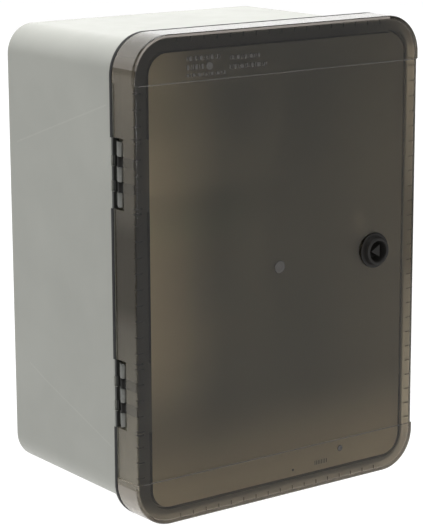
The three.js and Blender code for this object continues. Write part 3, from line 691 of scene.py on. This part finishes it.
CABINET = cabinet_plastic()
# The body's knuckles: the cabinet's grey painted darker, as painted shade.
HINGE_SHADED_GREY = plastic("hinge_painted_shade", (0.14, 0.141, 0.127), 0.26, 900, 0.1)
# Nearly black for the hinge pads' front faces: painted shade.
PAD_SHADE = plastic("pad_painted_shade", (0.025, 0.026, 0.023), 0.5, 900, 0.1)
SMOKED_DARK = plastic("smoked_hinge", (0.012, 0.011, 0.010), 0.4, 900, 0.1, specular=0.12)
LOCK_BLACK = plastic("lock_black", (0.014, 0.013, 0.012), 0.42, 1200, 0.2, specular=0.15)
RUBBER = plastic("seal_rubber", (0.012, 0.012, 0.012), 0.75, 500, 0.6)
STEEL = metal("pin_steel", (0.42, 0.43, 0.43), 0.32)
ZINC = metal("zinc_plate", (0.55, 0.56, 0.55), 0.34, (1, 1, 1))
SCREW = metal("screw_zinc", (0.55, 0.56, 0.55), 0.3, (1, 1, 1))
MARK = plastic("moulded_marks", (0.042, 0.038, 0.034), 0.5, 700, 0.2)
# The moulded lines are lighter than the door: a painted highlight along real ridges.
LINE_HIGHLIGHT = plastic("moulded_line_highlight", (0.075, 0.070, 0.062), 0.4, 700, 0.2)
WHITE_PRINT = plastic("white_print", (0.7, 0.7, 0.68), 0.5)
DARK_PRINT = plastic("dark_print", (0.05, 0.055, 0.06), 0.5)
DUCT_GREY = plastic("duct_grey", (0.33, 0.35, 0.37), 0.5)
CAP_GREY = plastic("cap_grey", (0.42, 0.42, 0.39), 0.5)
GLAND_GREY = plastic("gland_grey", (0.28, 0.29, 0.28), 0.45)
DIAL_DARK = plastic("dial_dark", (0.035, 0.04, 0.047), 0.4, 900, 0.35)

# What the door is made of. The skirt, the ends and the rim change up the door, 0 to 1, as painted light
# and shade; the rim's tint is a painted highlight.
DOOR_LOOKS = (
    smoked("smoked_clear", 0.06, (0.50, 0.46, 0.38)),
    smoked_frosted(),
    smoked_band(),
    # Skirt: lighter towards the bottom and the top and dark across the middle, as painted light and shade.
    smoked_painted_by_height("smoked_skirt", 0.22, 0.8, [
        (0.10, (0.62, 0.57, 0.47)), (0.32, (0.36, 0.33, 0.26)), (0.41, (0.26, 0.23, 0.18)),
        (0.46, (0.068, 0.048, 0.014)), (0.60, (0.066, 0.047, 0.018)), (0.65, (0.22, 0.195, 0.15)),
        (0.80, (0.34, 0.30, 0.235)), (0.90, (0.46, 0.41, 0.33))]),
    # Ends: lighter at the bottom and darker at the very top, as painted light and shade.
    smoked_painted_by_height("smoked_end", 0.25, 0.6, [
        (0.08, (0.64, 0.59, 0.52)), (0.935, (0.46, 0.42, 0.37)), (0.98, (0.26, 0.245, 0.215))]),
    # Rim: a painted highlight, brightest at the bottom.
    smoked_painted_by_height("smoked_rim_highlight", 0.25, 0.6, [
        (0.10, (0.98, 0.93, 0.84)), (0.90, (0.60, 0.55, 0.49)), (0.935, (0.23, 0.21, 0.19)),
        (0.98, (0.54, 0.49, 0.445))]),
)
FROST_LOOK, BAND_LOOK, SKIRT_LOOK, END_LOOK, RIM_HIGHLIGHT_LOOK = range(1, 6)

# The looks of the CAD nodes whose shape stays.
KEPT = {
    "door_gasket": RUBBER,
    "lock_nut": LOCK_BLACK,
    "lock_core": LOCK_BLACK,
    "lock_cam": ZINC,
    "lock_strike": ZINC,
    "mounting_plate": plastic("plate_white", (0.70, 0.70, 0.66), 0.38, 700, 0.3, 0.03),
    "timer_base": plastic("timer_base_grey", (0.60, 0.60, 0.56), 0.5),
    "timer_fascia": plastic("timer_white", (0.72, 0.72, 0.68), 0.42, 900, 0.3, 0.03),
    "logic_board": zoned("logic_green", BOARD_COLOUR, (0.03, 0.03, 0.03), -54),
    "display_window": window_clear(),
    "display_panel": striped("display_grey", (0.30, 0.35, 0.26), (0.27, 0.32, 0.24), 1, 0.2, 0.35),
    "push_button": plastic("button_blue_grey", (0.13, 0.18, 0.22), 0.42, 900, 0.3),
    "bypass_slider": plastic("slider_red", (0.42, 0.07, 0.035), 0.42, 900, 0.3),
    "station_board": zoned("board_green", BOARD_COLOUR, (0.035, 0.04, 0.055), -25.8),
    "station_strip": plastic("strip_green", (0.03, 0.24, 0.09), 0.45),
    "din_rail": metal("rail_zinc", (0.58, 0.60, 0.59), 0.36, (20, 1, 1)),
    "breaker_body": plastic("breaker_white", (0.70, 0.71, 0.68), 0.42, 900, 0.3, 0.03),
    "breaker_lever": plastic("lever_blue", (0.02, 0.09, 0.30), 0.4),
    "transformer": plastic("transformer_dark", (0.06, 0.07, 0.08), 0.5, 900, 0.4),
    "end_clamp": plastic("clamp_dark", (0.08, 0.09, 0.10), 0.5),
    "valve_terminal_1": plastic("terminal_blue", (0.05, 0.17, 0.44), 0.45),
    "valve_terminal": plastic("terminal_grey", (0.26, 0.29, 0.32), 0.45),
    "wire_duct": DUCT_GREY,
    "duct_cover": DUCT_GREY,
    "valve_ribbon": striped("ribbon_grey", (0.26, 0.27, 0.28), (0.14, 0.145, 0.15), 1.27),
    "gland_1_body": GLAND_GREY,
    "gland_2_body": GLAND_GREY,
    "gland_1_locknut": GLAND_GREY,
    "gland_2_locknut": GLAND_GREY,
    "gland_1_plug": RUBBER,
    "gland_2_plug": RUBBER,
}


# ------------------------------------------------------------------ cabinet body

def hinge_boxes(x0, x1, y0, y1, clear=0):
    """A box at each hinge, as tall as the hinge and clear of it by this much at both ends."""
    half = HINGE_HALF + clear
    return boxes("hinge_boxes", [(x0, x1, y0, y1, z - half, z + half) for z in HINGES])


def build_shell():
    lip_front = BODY_LO.y
    shell = skin("cabinet_shell", [
        *rounding(BODY, 0, BACK_EDGE, 0, -1, 4, from_face=True),
        *rounding(BODY, 0, FLANGE_FILLET, FLANGE_BACK, 1, 3, flare=-1),
        *rounding(DOOR, 0, FLANGE_EDGE, FLANGE_BACK, -1, 3, from_face=True),
        *rounding(DOOR, 0, FLANGE_EDGE, FLANGE_FRONT, 1, 3),
        loop(LIP, -0.5, FLANGE_FRONT),
        loop(LIP, 0, FLANGE_FRONT - 0.5),
        loop(LIP, 0, lip_front + LIP_EDGE),
        loop(LIP, LIP_EDGE, lip_front),
        loop(LIP, LIP_WALL - LIP_EDGE, lip_front),
        loop(LIP, LIP_WALL, lip_front + LIP_EDGE),
        loop(LIP, LIP_WALL, SILL),
        loop(BODY, WALL, SILL + 0.5),
        *rounding(BODY, WALL, INSIDE_FILLET, BACK_INSIDE, -1, 4),
    ])
    boolean(shell, [hinge_boxes(-147.1, -141, -173.6, -170.8)], "UNION")
    cutters = []
    notches = []
    for middle in HINGES:
        for step in (-0.5, 0.5):
            z = middle + step * KNUCKLE_PITCH
            notches.append(bar(-147.65, z, 4.7, KNUCKLE_PITCH - KNUCKLE_H, -175, -170.9))
    for i in range(1, 5):
        cap = box_of(f"fixing_cap_{i}")[1]
        cutters.append(rod("hole", WALL_SCREW_R, -8, 2, (cap.x, 0, cap.z)))
    for i in (1, 2):
        locknut = box_of(f"gland_{i}_locknut")[1]
        cutters.append(rod("hole", GLAND_R, -200, -185, (locknut.x, locknut.y, 0), "z", 48))
    cutters.append(boxes("notch", notches))
    boolean(shell, cutters, "DIFFERENCE")
    place_piece(shell, CABINET, "cabinet", "enclosure_body")
    # The hinge pads' faces in front of the flange get the dark material: painted shade.
    shell.data.materials.append(PAD_SHADE)
    for face in shell.data.polygons:
        c = face.center / MM
        if c.y < FLANGE_FRONT - 0.1 and c.x < -140.5:
            face.material_index = 1
    for i in range(1, 5):
        screw = box_of(f"plate_screw_{i}")[1]
        profile = [(0, -3.4), (7.2, -3.4), (6.3, -4.4), (6, -6), (6, -13.3), (5.6, -13.7),
                   (2, -13.7), (2, -6), (0, -6)]
        boss = spun(f"plate_boss_{i}", profile, (screw.x, 0, screw.z))
        place_piece(boss, CABINET, "cabinet")


def knuckle_outline(radius, web, end, steps=28):
    """A knuckle seen from above: round the pin, with a web from it to the depth given by end."""
    x0, x1 = web
    sign = -1 if end < HINGE_Y else 1
    a0 = math.acos((x0 - HINGE_X) / radius)
    a1 = math.acos((x1 - HINGE_X) / radius)
    points = []
    for i in range(steps + 1):
        a = a0 + (2 * math.pi - (a0 - a1)) * i / steps
        points.append((HINGE_X + radius * math.cos(a), HINGE_Y + sign * radius * math.sin(a)))
    return points + [(x1, end), (x0, end)]


def hinge_piece(name, outline, z, half, round_off, material, body):
    knuckle = prism(name, outline, z - half, z + half)
    hole = rod("hole", PIN_BORE, z - half - 5, z + half + 5, (HINGE_X, HINGE_Y, 0), "z")
    boolean(knuckle, [hole], "DIFFERENCE")
    bevel(knuckle, round_off, angle=50)
    place_piece(knuckle, material, body)


def build_hinges():
    body_outline = knuckle_outline(2.7, (-144.2, -142.5), -173)
    door_outline = knuckle_outline(2.5, (-146, -143.2), -199.6)
    door_half = (KNUCKLE_PITCH - KNUCKLE_H) / 2 - 0.4
    for label, middle in zip(("upper", "lower"), HINGES):
        for i, step in enumerate((1, 0, -1)):
            hinge_piece(f"{label}_knuckle_{i + 1}", body_outline, middle + step * KNUCKLE_PITCH,
                        KNUCKLE_H / 2, 0.4, HINGE_SHADED_GREY, "cabinet")
        for i, step in enumerate((0.5, -0.5)):
            hinge_piece(f"{label}_door_knuckle_{i + 1}", door_outline, middle + step * KNUCKLE_PITCH,
                        door_half, 0.3, SMOKED_DARK, "door_leaf")
        lo, _, hi = box_of(f"{label}_hinge_pin")
        profile = [(0, lo.z), (PIN_R - 0.3, lo.z), (PIN_R, lo.z + 0.3), (PIN_R, hi.z - 0.3),
                   (PIN_R - 0.3, hi.z), (0, hi.z)]
        pin = spun(f"{label}_pin", profile, (HINGE_X, HINGE_Y, 0), "z", 32)
        place_piece(pin, STEEL, "cabinet", f"{label}_hinge_pin")


# ------------------------------------------------------------------ door

def build_marks():
    """Generic raised strokes where a real door carries moulded marks, and the moulding's gate."""
    waist = DOOR_FRONT + FACE_SET_IN
    # Left end, height on the door, length of the row, widths of its strokes, height of a stroke.
    rows = (
        (-96, 179.6, 36, (0.7, 2.6, 0.5, 1.6, 0.6, 3.0, 0.6, 1.2), 3.6),
        (-96, 172.8, 17, (2.2, 0.7, 1.2, 2.6, 0.8), 4.0),
        (-96, 166.4, 38, (1.8, 0.9, 2.4, 0.6, 3.2, 1.2), 2.4),
        (-54, 177.6, 32, (0.7, 1.9, 0.6, 2.8, 0.7), 3.4),
        (-54, 170.2, 37, (1.2, 0.6, 2.4, 0.9, 3.4, 0.6), 3.6),
        (36, -177.6, 14, (0.5,), 3.6),
    )
    strokes = []
    for left, z, length, widths, height in rows:
        x = left
        i = 0
        while x + widths[i % len(widths)] <= left + length:
            width = widths[i % len(widths)]
            strokes.append(bar(x + width / 2, z, width, height, DOOR_FRONT - 0.2, DOOR_FRONT + 0.3))
            x += width + 1.3
            i += 1
    raised("door_marks", strokes, MARK, "door_leaf", 0.08)
    # The moulded lines are raised ridges, coloured lighter as a painted highlight.
    lines = [bar(0, z, 284, 0.6, DOOR_FRONT - 0.1, DOOR_FRONT + 0.4) for z in (-LINE_Z, LINE_Z)]
    raised("door_lines", lines, LINE_HIGHLIGHT, "door_leaf", 0.08)
    # Place on the door, radius and the depth of the face that each stands on.
    discs = ((-2.5, 0.0, 5.2, waist), (64, -169.6, 2.6, DOOR_FRONT), (12.1, -179.1, 1.0, DOOR_FRONT),
             (-74, 172.6, 3.2, DOOR_FRONT))
    for i, (x, z, r, face) in enumerate(discs):
        profile = [(0, face + 0.2), (r, face + 0.2), (r, face - 0.08), (r * 0.9, face - 0.2),
                   (r * 0.55, face - 0.2), (r * 0.45, face - 0.12), (0, face - 0.12)]
        disc = spun(f"door_disc_{i + 1}", profile, (x, 0, z), "y", 40)
        place_piece(disc, MARK, "door_leaf")


def build_flange_trim():
    """The black edge strip round the flange. It stops at the hinges."""
    t = 0.35
    trim = skin("flange_trim", [
        loop(DOOR, 2 * t, -171.9),
        loop(DOOR, 1.5 * t, -172.8),
        loop(DOOR, 0, -172.9),
        loop(DOOR, -t / 2, -172.7),
        loop(DOOR, -t / 2, -170),
        loop(DOOR, t, -169.8),
    ], ring=True)
    boolean(trim, [hinge_boxes(-151, -140, -175, -165, 0.2)], "DIFFERENCE")
    place_piece(trim, RUBBER, "cabinet")


def door_loops():
    """The tray from the front face out, round the edge and in. Between the two moulded lines its
    sides and its face are set in."""
    levels = [side * LINE_Z + d for side in (-1, 1) for d in (-LINE_HALF, LINE_HALF)]
    outer = rounding(DOOR, 0, DOOR_EDGE, DOOR_FRONT, 1, 8, from_face=True, levels=levels)
    outer += rounding(DOOR, 0, DOOR_REAR_EDGE, DOOR_BACK, -1, 2, levels=levels)
    for points in outer:
        for p in points:
            if abs(p.z) < LINE_Z and abs(p.x) > 120:
                p.x -= math.copysign(SIDE_SET_IN, p.x)
            if abs(p.z) < LINE_Z and p.y < DOOR_INSIDE:
                p.y += FACE_SET_IN
    inner = [loop(DOOR, WALL - 0.5, DOOR_BACK, levels), loop(DOOR, WALL, DOOR_BACK - 0.5, levels)]
    return outer + inner + rounding(DOOR, WALL, TRAY_FILLET, DOOR_INSIDE, 1, 4, levels=levels)


def door_rib():
    """The rib inside the tray. It stops at the hinges."""
    rib = skin("rib", [
        loop(RIB, 0, RIB_FRONT),
        loop(RIB, 0, RIB_BACK + 0.4),
        loop(RIB, 0.4, RIB_BACK),
        loop(RIB, RIB_WALL - 0.4, RIB_BACK),
        loop(RIB, RIB_WALL, RIB_BACK + 0.4),
        loop(RIB, RIB_WALL, RIB_FRONT),
    ], ring=True)
    boolean(rib, [hinge_boxes(-140, -125, DOOR_INSIDE + 0.005, -180, 0.5)], "DIFFERENCE")
    return rib


def door_ticks():
    """The small cross ribs in the band between the rib and the door's side."""
    ticks = []
    for i in range(-12, 13):
        for x in (-141.8, 141.8):
            ticks.append(bar(x, i * TICK_PITCH, 5.6, TICK_WIDTH, RIB_FRONT, TICK_BACK))
    for i in range(-8, 9):
        for z in (-195.4, 195.4):
            ticks.append(bar(i * TICK_PITCH, z, TICK_WIDTH, 4, RIB_FRONT, TICK_BACK))
    for middle in HINGES:
        for side in (-1, 1):
            ticks.append(bar(-141.9, middle + side * (HINGE_HALF + 1.3), 5.4, 1.6, RIB_FRONT, -196))
    return boxes("ticks", ticks)


def door_look(c, normal):
    """Which of DOOR_LOOKS a face of the door has, from its middle and its normal."""
    if abs(c.y - DOOR_INSIDE) < 0.3 and normal.y > 0.9 and inside(RIB, RIB_WALL, c.x, c.z):
        return FROST_LOOK
    # Rim faces near the right-hand corners, and a strip at the top of the front below, carry the painted
    # highlight.
    in_fillet = DOOR_INSIDE + 0.02 < c.y < DOOR_INSIDE + TRAY_FILLET - 0.01
    if in_fillet and abs(c.z) > LINE_Z and c.x > 60 and not inside(DOOR, WALL + 1.2, c.x, c.z):
        return RIM_HIGHLIGHT_LOOK
    if c.y > DOOR_INSIDE - 0.1 and inside(DOOR, WALL + 0.5, c.x, c.z):
        return BAND_LOOK
    if c.y > DOOR_FRONT + DOOR_EDGE + 0.1:
        return SKIRT_LOOK if END_LOW <= c.z <= END_TOP else END_LOOK
    if DOOR_FRONT + 0.02 < c.y < DOOR_FRONT + 0.8 and c.z > END_TOP and c.x < 115:
        return RIM_HIGHLIGHT_LOOK
    return 0


def build_door():
    door = skin("door_panel", door_loops(), levels=4)
    boolean(door, [door_rib(), door_ticks()], "UNION")
    lock_hole = rod("hole", LOCK_HOLE_R, -210, -190, (LOCK.x, 0, LOCK.z), "y", 48)
    boolean(door, [lock_hole, hinge_boxes(-151, -143.9, -186, -170, 0.5)], "DIFFERENCE")
    place_piece(door, DOOR_LOOKS[0], "door_leaf", "door")
    for look in DOOR_LOOKS[1:]:
        door.data.materials.append(look)
    for face in door.data.polygons:
        face.material_index = door_look(face.center / MM, face.normal)
    shade(door, 18)
    even = door.modifiers.new("even", "WEIGHTED_NORMAL")
    even.keep_sharp = True
    even.weight = 100


# ------------------------------------------------------------------ lock

def build_lock():
    front = LOCK_LO.y
    profile = [
        (6.3, -197), (8.6, -197), (8.8, -197.4), (8.9, front + 0.9), (9.3, front + 0.25), (9.8, front),
        (11.0, front), (11.7, front + 0.35), (12.1, front + 1.2), (12.4, -204.8), (12.6, -204.4),
        (13.4, -204.35), (14.3, -204.4), (14.9, -204.2), (15.2, -203.75), (15.2, -203.25),
        (10.5, -203.25), (10.5, -184.4), (10, -184), (6.3, -184),
    ]
    collar = spun("lock_collar", profile, (LOCK.x, 0, LOCK.z), "y", 72)
    place_piece(collar, LOCK_BLACK, "door_leaf", "lock_housing")
    verts = []
    for y, r in ((-197.6, 6.4), (-206.0, 6.2), (-206.6, 5.6)):
        for i in range(3):
            a = math.radians(180 + 120 * i)
            verts.append((LOCK.x + r * math.cos(a), y, LOCK.z + r * math.sin(a)))
    faces = [(0, 1, 2), (6, 7, 8)]
    for base in (0, 3):
        faces += [(base + i, base + (i + 1) % 3, base + 3 + (i + 1) % 3, base + 3 + i) for i in range(3)]
    post = mesh_object("lock_post", verts, faces)
    bevel(post, 0.5)
    place_piece(post, LOCK_BLACK, "lock_turn")


# ------------------------------------------------------------------ details inside the cabinet

def screw_head(name, centre, radius, height, shank, axis="y", turn=0.0):
    """A domed head with a cross recess, on a shank. It faces -Y, or -X when the axis is x."""
    profile = [(0, -height), (radius * 0.55, -height), (radius * 0.86, -height * 0.72),
               (radius, -height * 0.3), (radius, 0), (SCREW_SHANK, 0), (SCREW_SHANK, shank), (0, shank)]
    head = spun(name, profile, centre, axis, 36)
    reach, half = radius * 0.62, radius * 0.12
    outside, floor = -height * 1.5, -height * 0.45
    cutters = []
    for a, b in ((reach, half), (half, reach)):
        limits = (-a, a, outside, floor, -b, b) if axis == "y" else (outside, floor, -a, a, -b, b)
        cutter = boxes("slot", [limits])
        place = Matrix.Translation(Vector(centre) * MM)
        cutter.matrix_world = place @ Matrix.Rotation(turn, 4, axis.upper())
        cutters.append(cutter)
    bpy.context.view_layer.update()
    boolean(head, cutters, "DIFFERENCE")
    return head


def build_screws():
    """The machine screws that the CAD has as plain heads."""
    names = [f"plate_screw_{i}" for i in range(1, 5)] + ["rail_screw_1", "rail_screw_2"]
    for number, name in enumerate(names, 1):
        lo, middle, hi = box_of(name)
        seat = lo.y + 2.1
        head = screw_head(f"{name}_head", (middle.x, seat, middle.z), 4.2, 2.1, hi.y - seat,
                          turn=0.7 * number)
        place_piece(head, SCREW, "cabinet", name)
    lo, middle, hi = box_of("strike_screw")
    seat = lo.x + 2.2
    head = screw_head("strike_screw_head", (seat, middle.y, middle.z), 3.2, 2.2, hi.x - seat, "x")
    place_piece(head, SCREW, "cabinet", "strike_screw")


def build_cam_screw():
    lo, middle, hi = box_of("cam_screw")
    r = 5.4
    profile = [(0, lo.y), (1.4, lo.y), (1.4, hi.y - 2.5), (r, hi.y - 2.5), (r, hi.y - 1.6),
               (r * 0.85, hi.y - 0.5), (r * 0.5, hi.y), (0, hi.y)]
    head = spun("cam_screw_head", profile, (middle.x, 0, middle.z), "y", 40)
    cut = boxes("slot", [bar(middle.x, middle.z, 6.8, 1, hi.y - 1.2, hi.y + 1)])
    boolean(head, [cut], "DIFFERENCE")
    place_piece(head, SCREW, "lock_turn", "cam_screw")


def clamp_screws(name, places, radius, top):
    """Slotted wire-clamp screws sunk in their holes, all one piece."""
    profile = [(0, top + 0.2), (radius * 0.9, top + 0.2), (radius, top + 0.45), (radius, top + 1.6),
               (0, top + 1.6)]
    verts = []
    faces = []
    for x, z in places:
        more_verts, more_faces = turned(profile, (x, 0, z), "y", 24)
        faces += [tuple(len(verts) + i for i in face) for face in more_faces]
        verts += more_verts
    screws = mesh_object(name, verts, faces)
    cuts = boxes("cuts", [bar(x, z, radius * 2.4, 0.6, top - 1, top + 0.8) for x, z in places])
    boolean(screws, [cuts], "DIFFERENCE")
    place_piece(screws, SCREW, "cabinet")


def build_clamp_screws():
    strip = box_of("station_strip")[0]
    clamp_screws("strip_screws", [((i - 5.5) * 10, 3) for i in range(12)], 2.0, strip.y + 1.2)
    terminals = [box_of(f"valve_terminal_{i}") for i in range(1, 7)]
    places = [(middle.x, middle.z + d) for _, middle, _ in terminals for d in (-9, 9)]
    clamp_screws("terminal_screws", places, 1.6, terminals[-1][0].y + 3)
    lo, middle, _ = box_of("breaker_body")
    places = [(middle.x, middle.z + d) for d in (-34, 34)]
    clamp_screws("breaker_screws", places, 2.8, lo.y + 19.8)
    lo, middle, _ = box_of("transformer")
    places = [(middle.x + across, middle.z + d) for across in (-26, -14, 14, 26) for d in (-38, 38)]
    clamp_screws("transformer_screws", places, 2.6, lo.y + 19.8)
    clamps = [box_of(f"end_clamp_{i}") for i in (1, 2)]
    places = [(middle.x, middle.z) for _, middle, _ in clamps]
    clamp_screws("end_clamp_screws", places, 1.9, clamps[-1][0].y + 2)


def build_caps():
    r, stem = 7, 2.9
    for i in range(1, 5):
        lo, middle, hi = box_of(f"fixing_cap_{i}")
        profile = [(0, lo.y), (r * 0.8, lo.y), (r * 0.95, lo.y + 0.25), (r, lo.y + 0.8),
                   (r, lo.y + 2.7), (stem, lo.y + 2.7), (stem, hi.y - 0.4), (stem - 0.5, hi.y),
                   (0, hi.y)]
        cap = spun(f"wall_cap_{i}", profile, (middle.x, 0, middle.z), "y", 48)
        place_piece(cap, CAP_GREY, "cabinet", f"fixing_cap_{i}")


def build_gland_nuts():
    grip = ((12.1, 0.5, 0), (12.6, 0.9, -0.5), (12.6, 0.9, -8.4), (12.1, 0.5, -9.2),
            (11.2, 0.2, -11.2), (9.9, 0.0, -13.6), (9.3, 0.0, -14))
    for i in (1, 2):
        _, middle, hi = box_of(f"gland_{i}_nut")
        top = hi.z
        foot = (middle.x, middle.y, 0)
        nut = ribbed(f"gland_nut_{i}", [(r, d, top + t) for r, d, t in grip], 20, foot, "z")
        bore = rod("hole", 9.5, top - 9, top + 1, foot, "z", 48)
        mouth = rod("hole", 6.6, top - 15, top - 8, foot, "z", 48)
        boolean(nut, [bore, mouth], "DIFFERENCE")
        place_piece(nut, GLAND_GREY, "cabinet", f"gland_{i}_nut")


def build_dial():
    _, middle, hi = box_of("program_dial")
    x, z = middle.x, middle.z
    rings = ((20.2, 0.2, -74.5), (20.9, 0.5, -74.9), (20.0, 0.6, -78.3), (19.0, 0.5, -79),
             (15.2, 0.1, -79.2), (14.6, 0.1, -82.8), (13.8, 0.0, -84))
    knob = ribbed("dial_knob", rings, 30, (x, 0, z), "y")
    grip = boxes("grip", [bar(x, z, 8, 26, -92, -82)])
    bevel(grip, 1.6, 3)
    spindle = rod("spindle", 5, -76, hi.y, (x, 0, z))
    boolean(knob, [grip, spindle], "UNION")
    place_piece(knob, DIAL_DARK, "dial", "program_dial")
    pointer = boxes("dial_pointer", [bar(x, z + 6.5, 1.2, 9, -92.15, -91.8)])
    bevel(pointer, 0.05, 1)
    place_piece(pointer, WHITE_PRINT, "dial")
    return x, z


def build_timer():
    """The knob, the ring of marks round it and what the display shows: plain blank segments."""
    x, z = build_dial()
    fascia = box_of("timer_fascia")[0].y
    printed = (fascia - 0.12, fascia + 0.3)
    marks = []
    for i in range(13):
        a = math.radians(25 * i - 60)
        length = 3.4 if i % 3 == 0 else 2
        for k in range(4):
            r = 23 + length * k / 4
            marks.append(bar(x + r * math.cos(a), z + r * math.sin(a), 0.84, 0.84, *printed))
    raised("dial_scale", marks, DARK_PRINT, "cabinet", 0.04)
    bars = []
    for i in range(1, 5):
        _, button, high = box_of(f"push_button_{i}")
        bars.append(bar(button.x, high.z + 3.35, 7, 0.7, *printed))
    raised("button_bars", bars, DARK_PRINT, "cabinet", 0.04)
    panel, middle, _ = box_of("display_panel")
    low = middle.z - 2
    printed = (panel.y - 0.14, panel.y + 0.2)
    w, h, t = 8, 15, 1.3
    segments = []
    for offset in (-24, -10, 6, 20):
        digit = middle.x + offset
        for side in (-1, 0, 1):
            segments.append(bar(digit, low + side * h / 2, w - 2 * t, t, *printed))
        for sx in (-1, 1):
            for sz in (-1, 1):
                segments.append(bar(digit + sx * w / 2, low + sz * h / 4, t, h / 2 - 2 * t, *printed))
    for dz in (-2.5, 2.5):
        segments.append(bar(middle.x - 2, low + dz, 1.4, 1.4, *printed))
    for i in range(9):
        segments.append(bar(middle.x - 32 + 8 * i, middle.z + 12.7, 4, 1.4, *printed))
    raised("display_segments", segments, DARK_PRINT, "cabinet", 0.04)


def build_supply_wire():
    """The insulated link between breaker and transformer, as a smooth tube."""
    rail_z = box_of("breaker_body")[1].z
    lo, middle, hi = box_of("supply_link")
    x0, x1, top = lo.x + 1.3, hi.x - 1.3, hi.z - 1.3
    knots = [(x0, rail_z + 42.4), (x0 + 1, rail_z + 49), (x0 + 15, top), (x1 - 1, rail_z + 51),
             (x1, rail_z + 45.4)]
    curve = bpy.data.curves.new("link_path", "CURVE")
    curve.dimensions = "3D"
    spline = curve.splines.new("BEZIER")
    spline.bezier_points.add(len(knots) - 1)
    for point, (x, z) in zip(spline.bezier_points, knots):
        point.co = Vector((x, middle.y, z)) * MM
        point.handle_left_type = point.handle_right_type = "AUTO"
    curve.bevel_depth = 1.25 * MM
    curve.bevel_resolution = 6
    curve.use_fill_caps = True
    carrier = new_object("link_carrier", curve)
    depsgraph = bpy.context.evaluated_depsgraph_get()
    mesh = bpy.data.meshes.new_from_object(carrier.evaluated_get(depsgraph))
    bpy.data.objects.remove(carrier)
    wire = new_object("supply_wire", mesh)
    shade(wire, 50)
    brown = plastic("wire_brown", (0.15, 0.045, 0.02), 0.35)
    place_piece(wire, brown, "cabinet", "supply_link")


def keep_cad():
    """Materials and softened edges for the CAD nodes whose shape stays."""
    for name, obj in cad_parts.items():
        if obj.hide_render:
            continue
        material = KEPT.get(name) or KEPT[name.rstrip("0123456789").rstrip("_")]
        for slot in obj.material_slots:
            slot.material = material
        weld = obj.modifiers.new("weld", "WELD")
        weld.merge_threshold = WELD * MM
        edges = obj.modifiers.new("edges", "BEVEL")
        edges.width = 0.3 * MM
        edges.segments = 2
        edges.limit_method = "ANGLE"
        edges.angle_limit = math.radians(40)


# ------------------------------------------------------------------ everything

make_camera()
make_floor()
make_light()
build_shell()
build_hinges()
build_door()
build_marks()
build_flange_trim()
build_lock()
build_screws()
build_cam_screw()
build_clamp_screws()
build_caps()
build_gland_nuts()
build_timer()
build_supply_wire()
keep_cad()
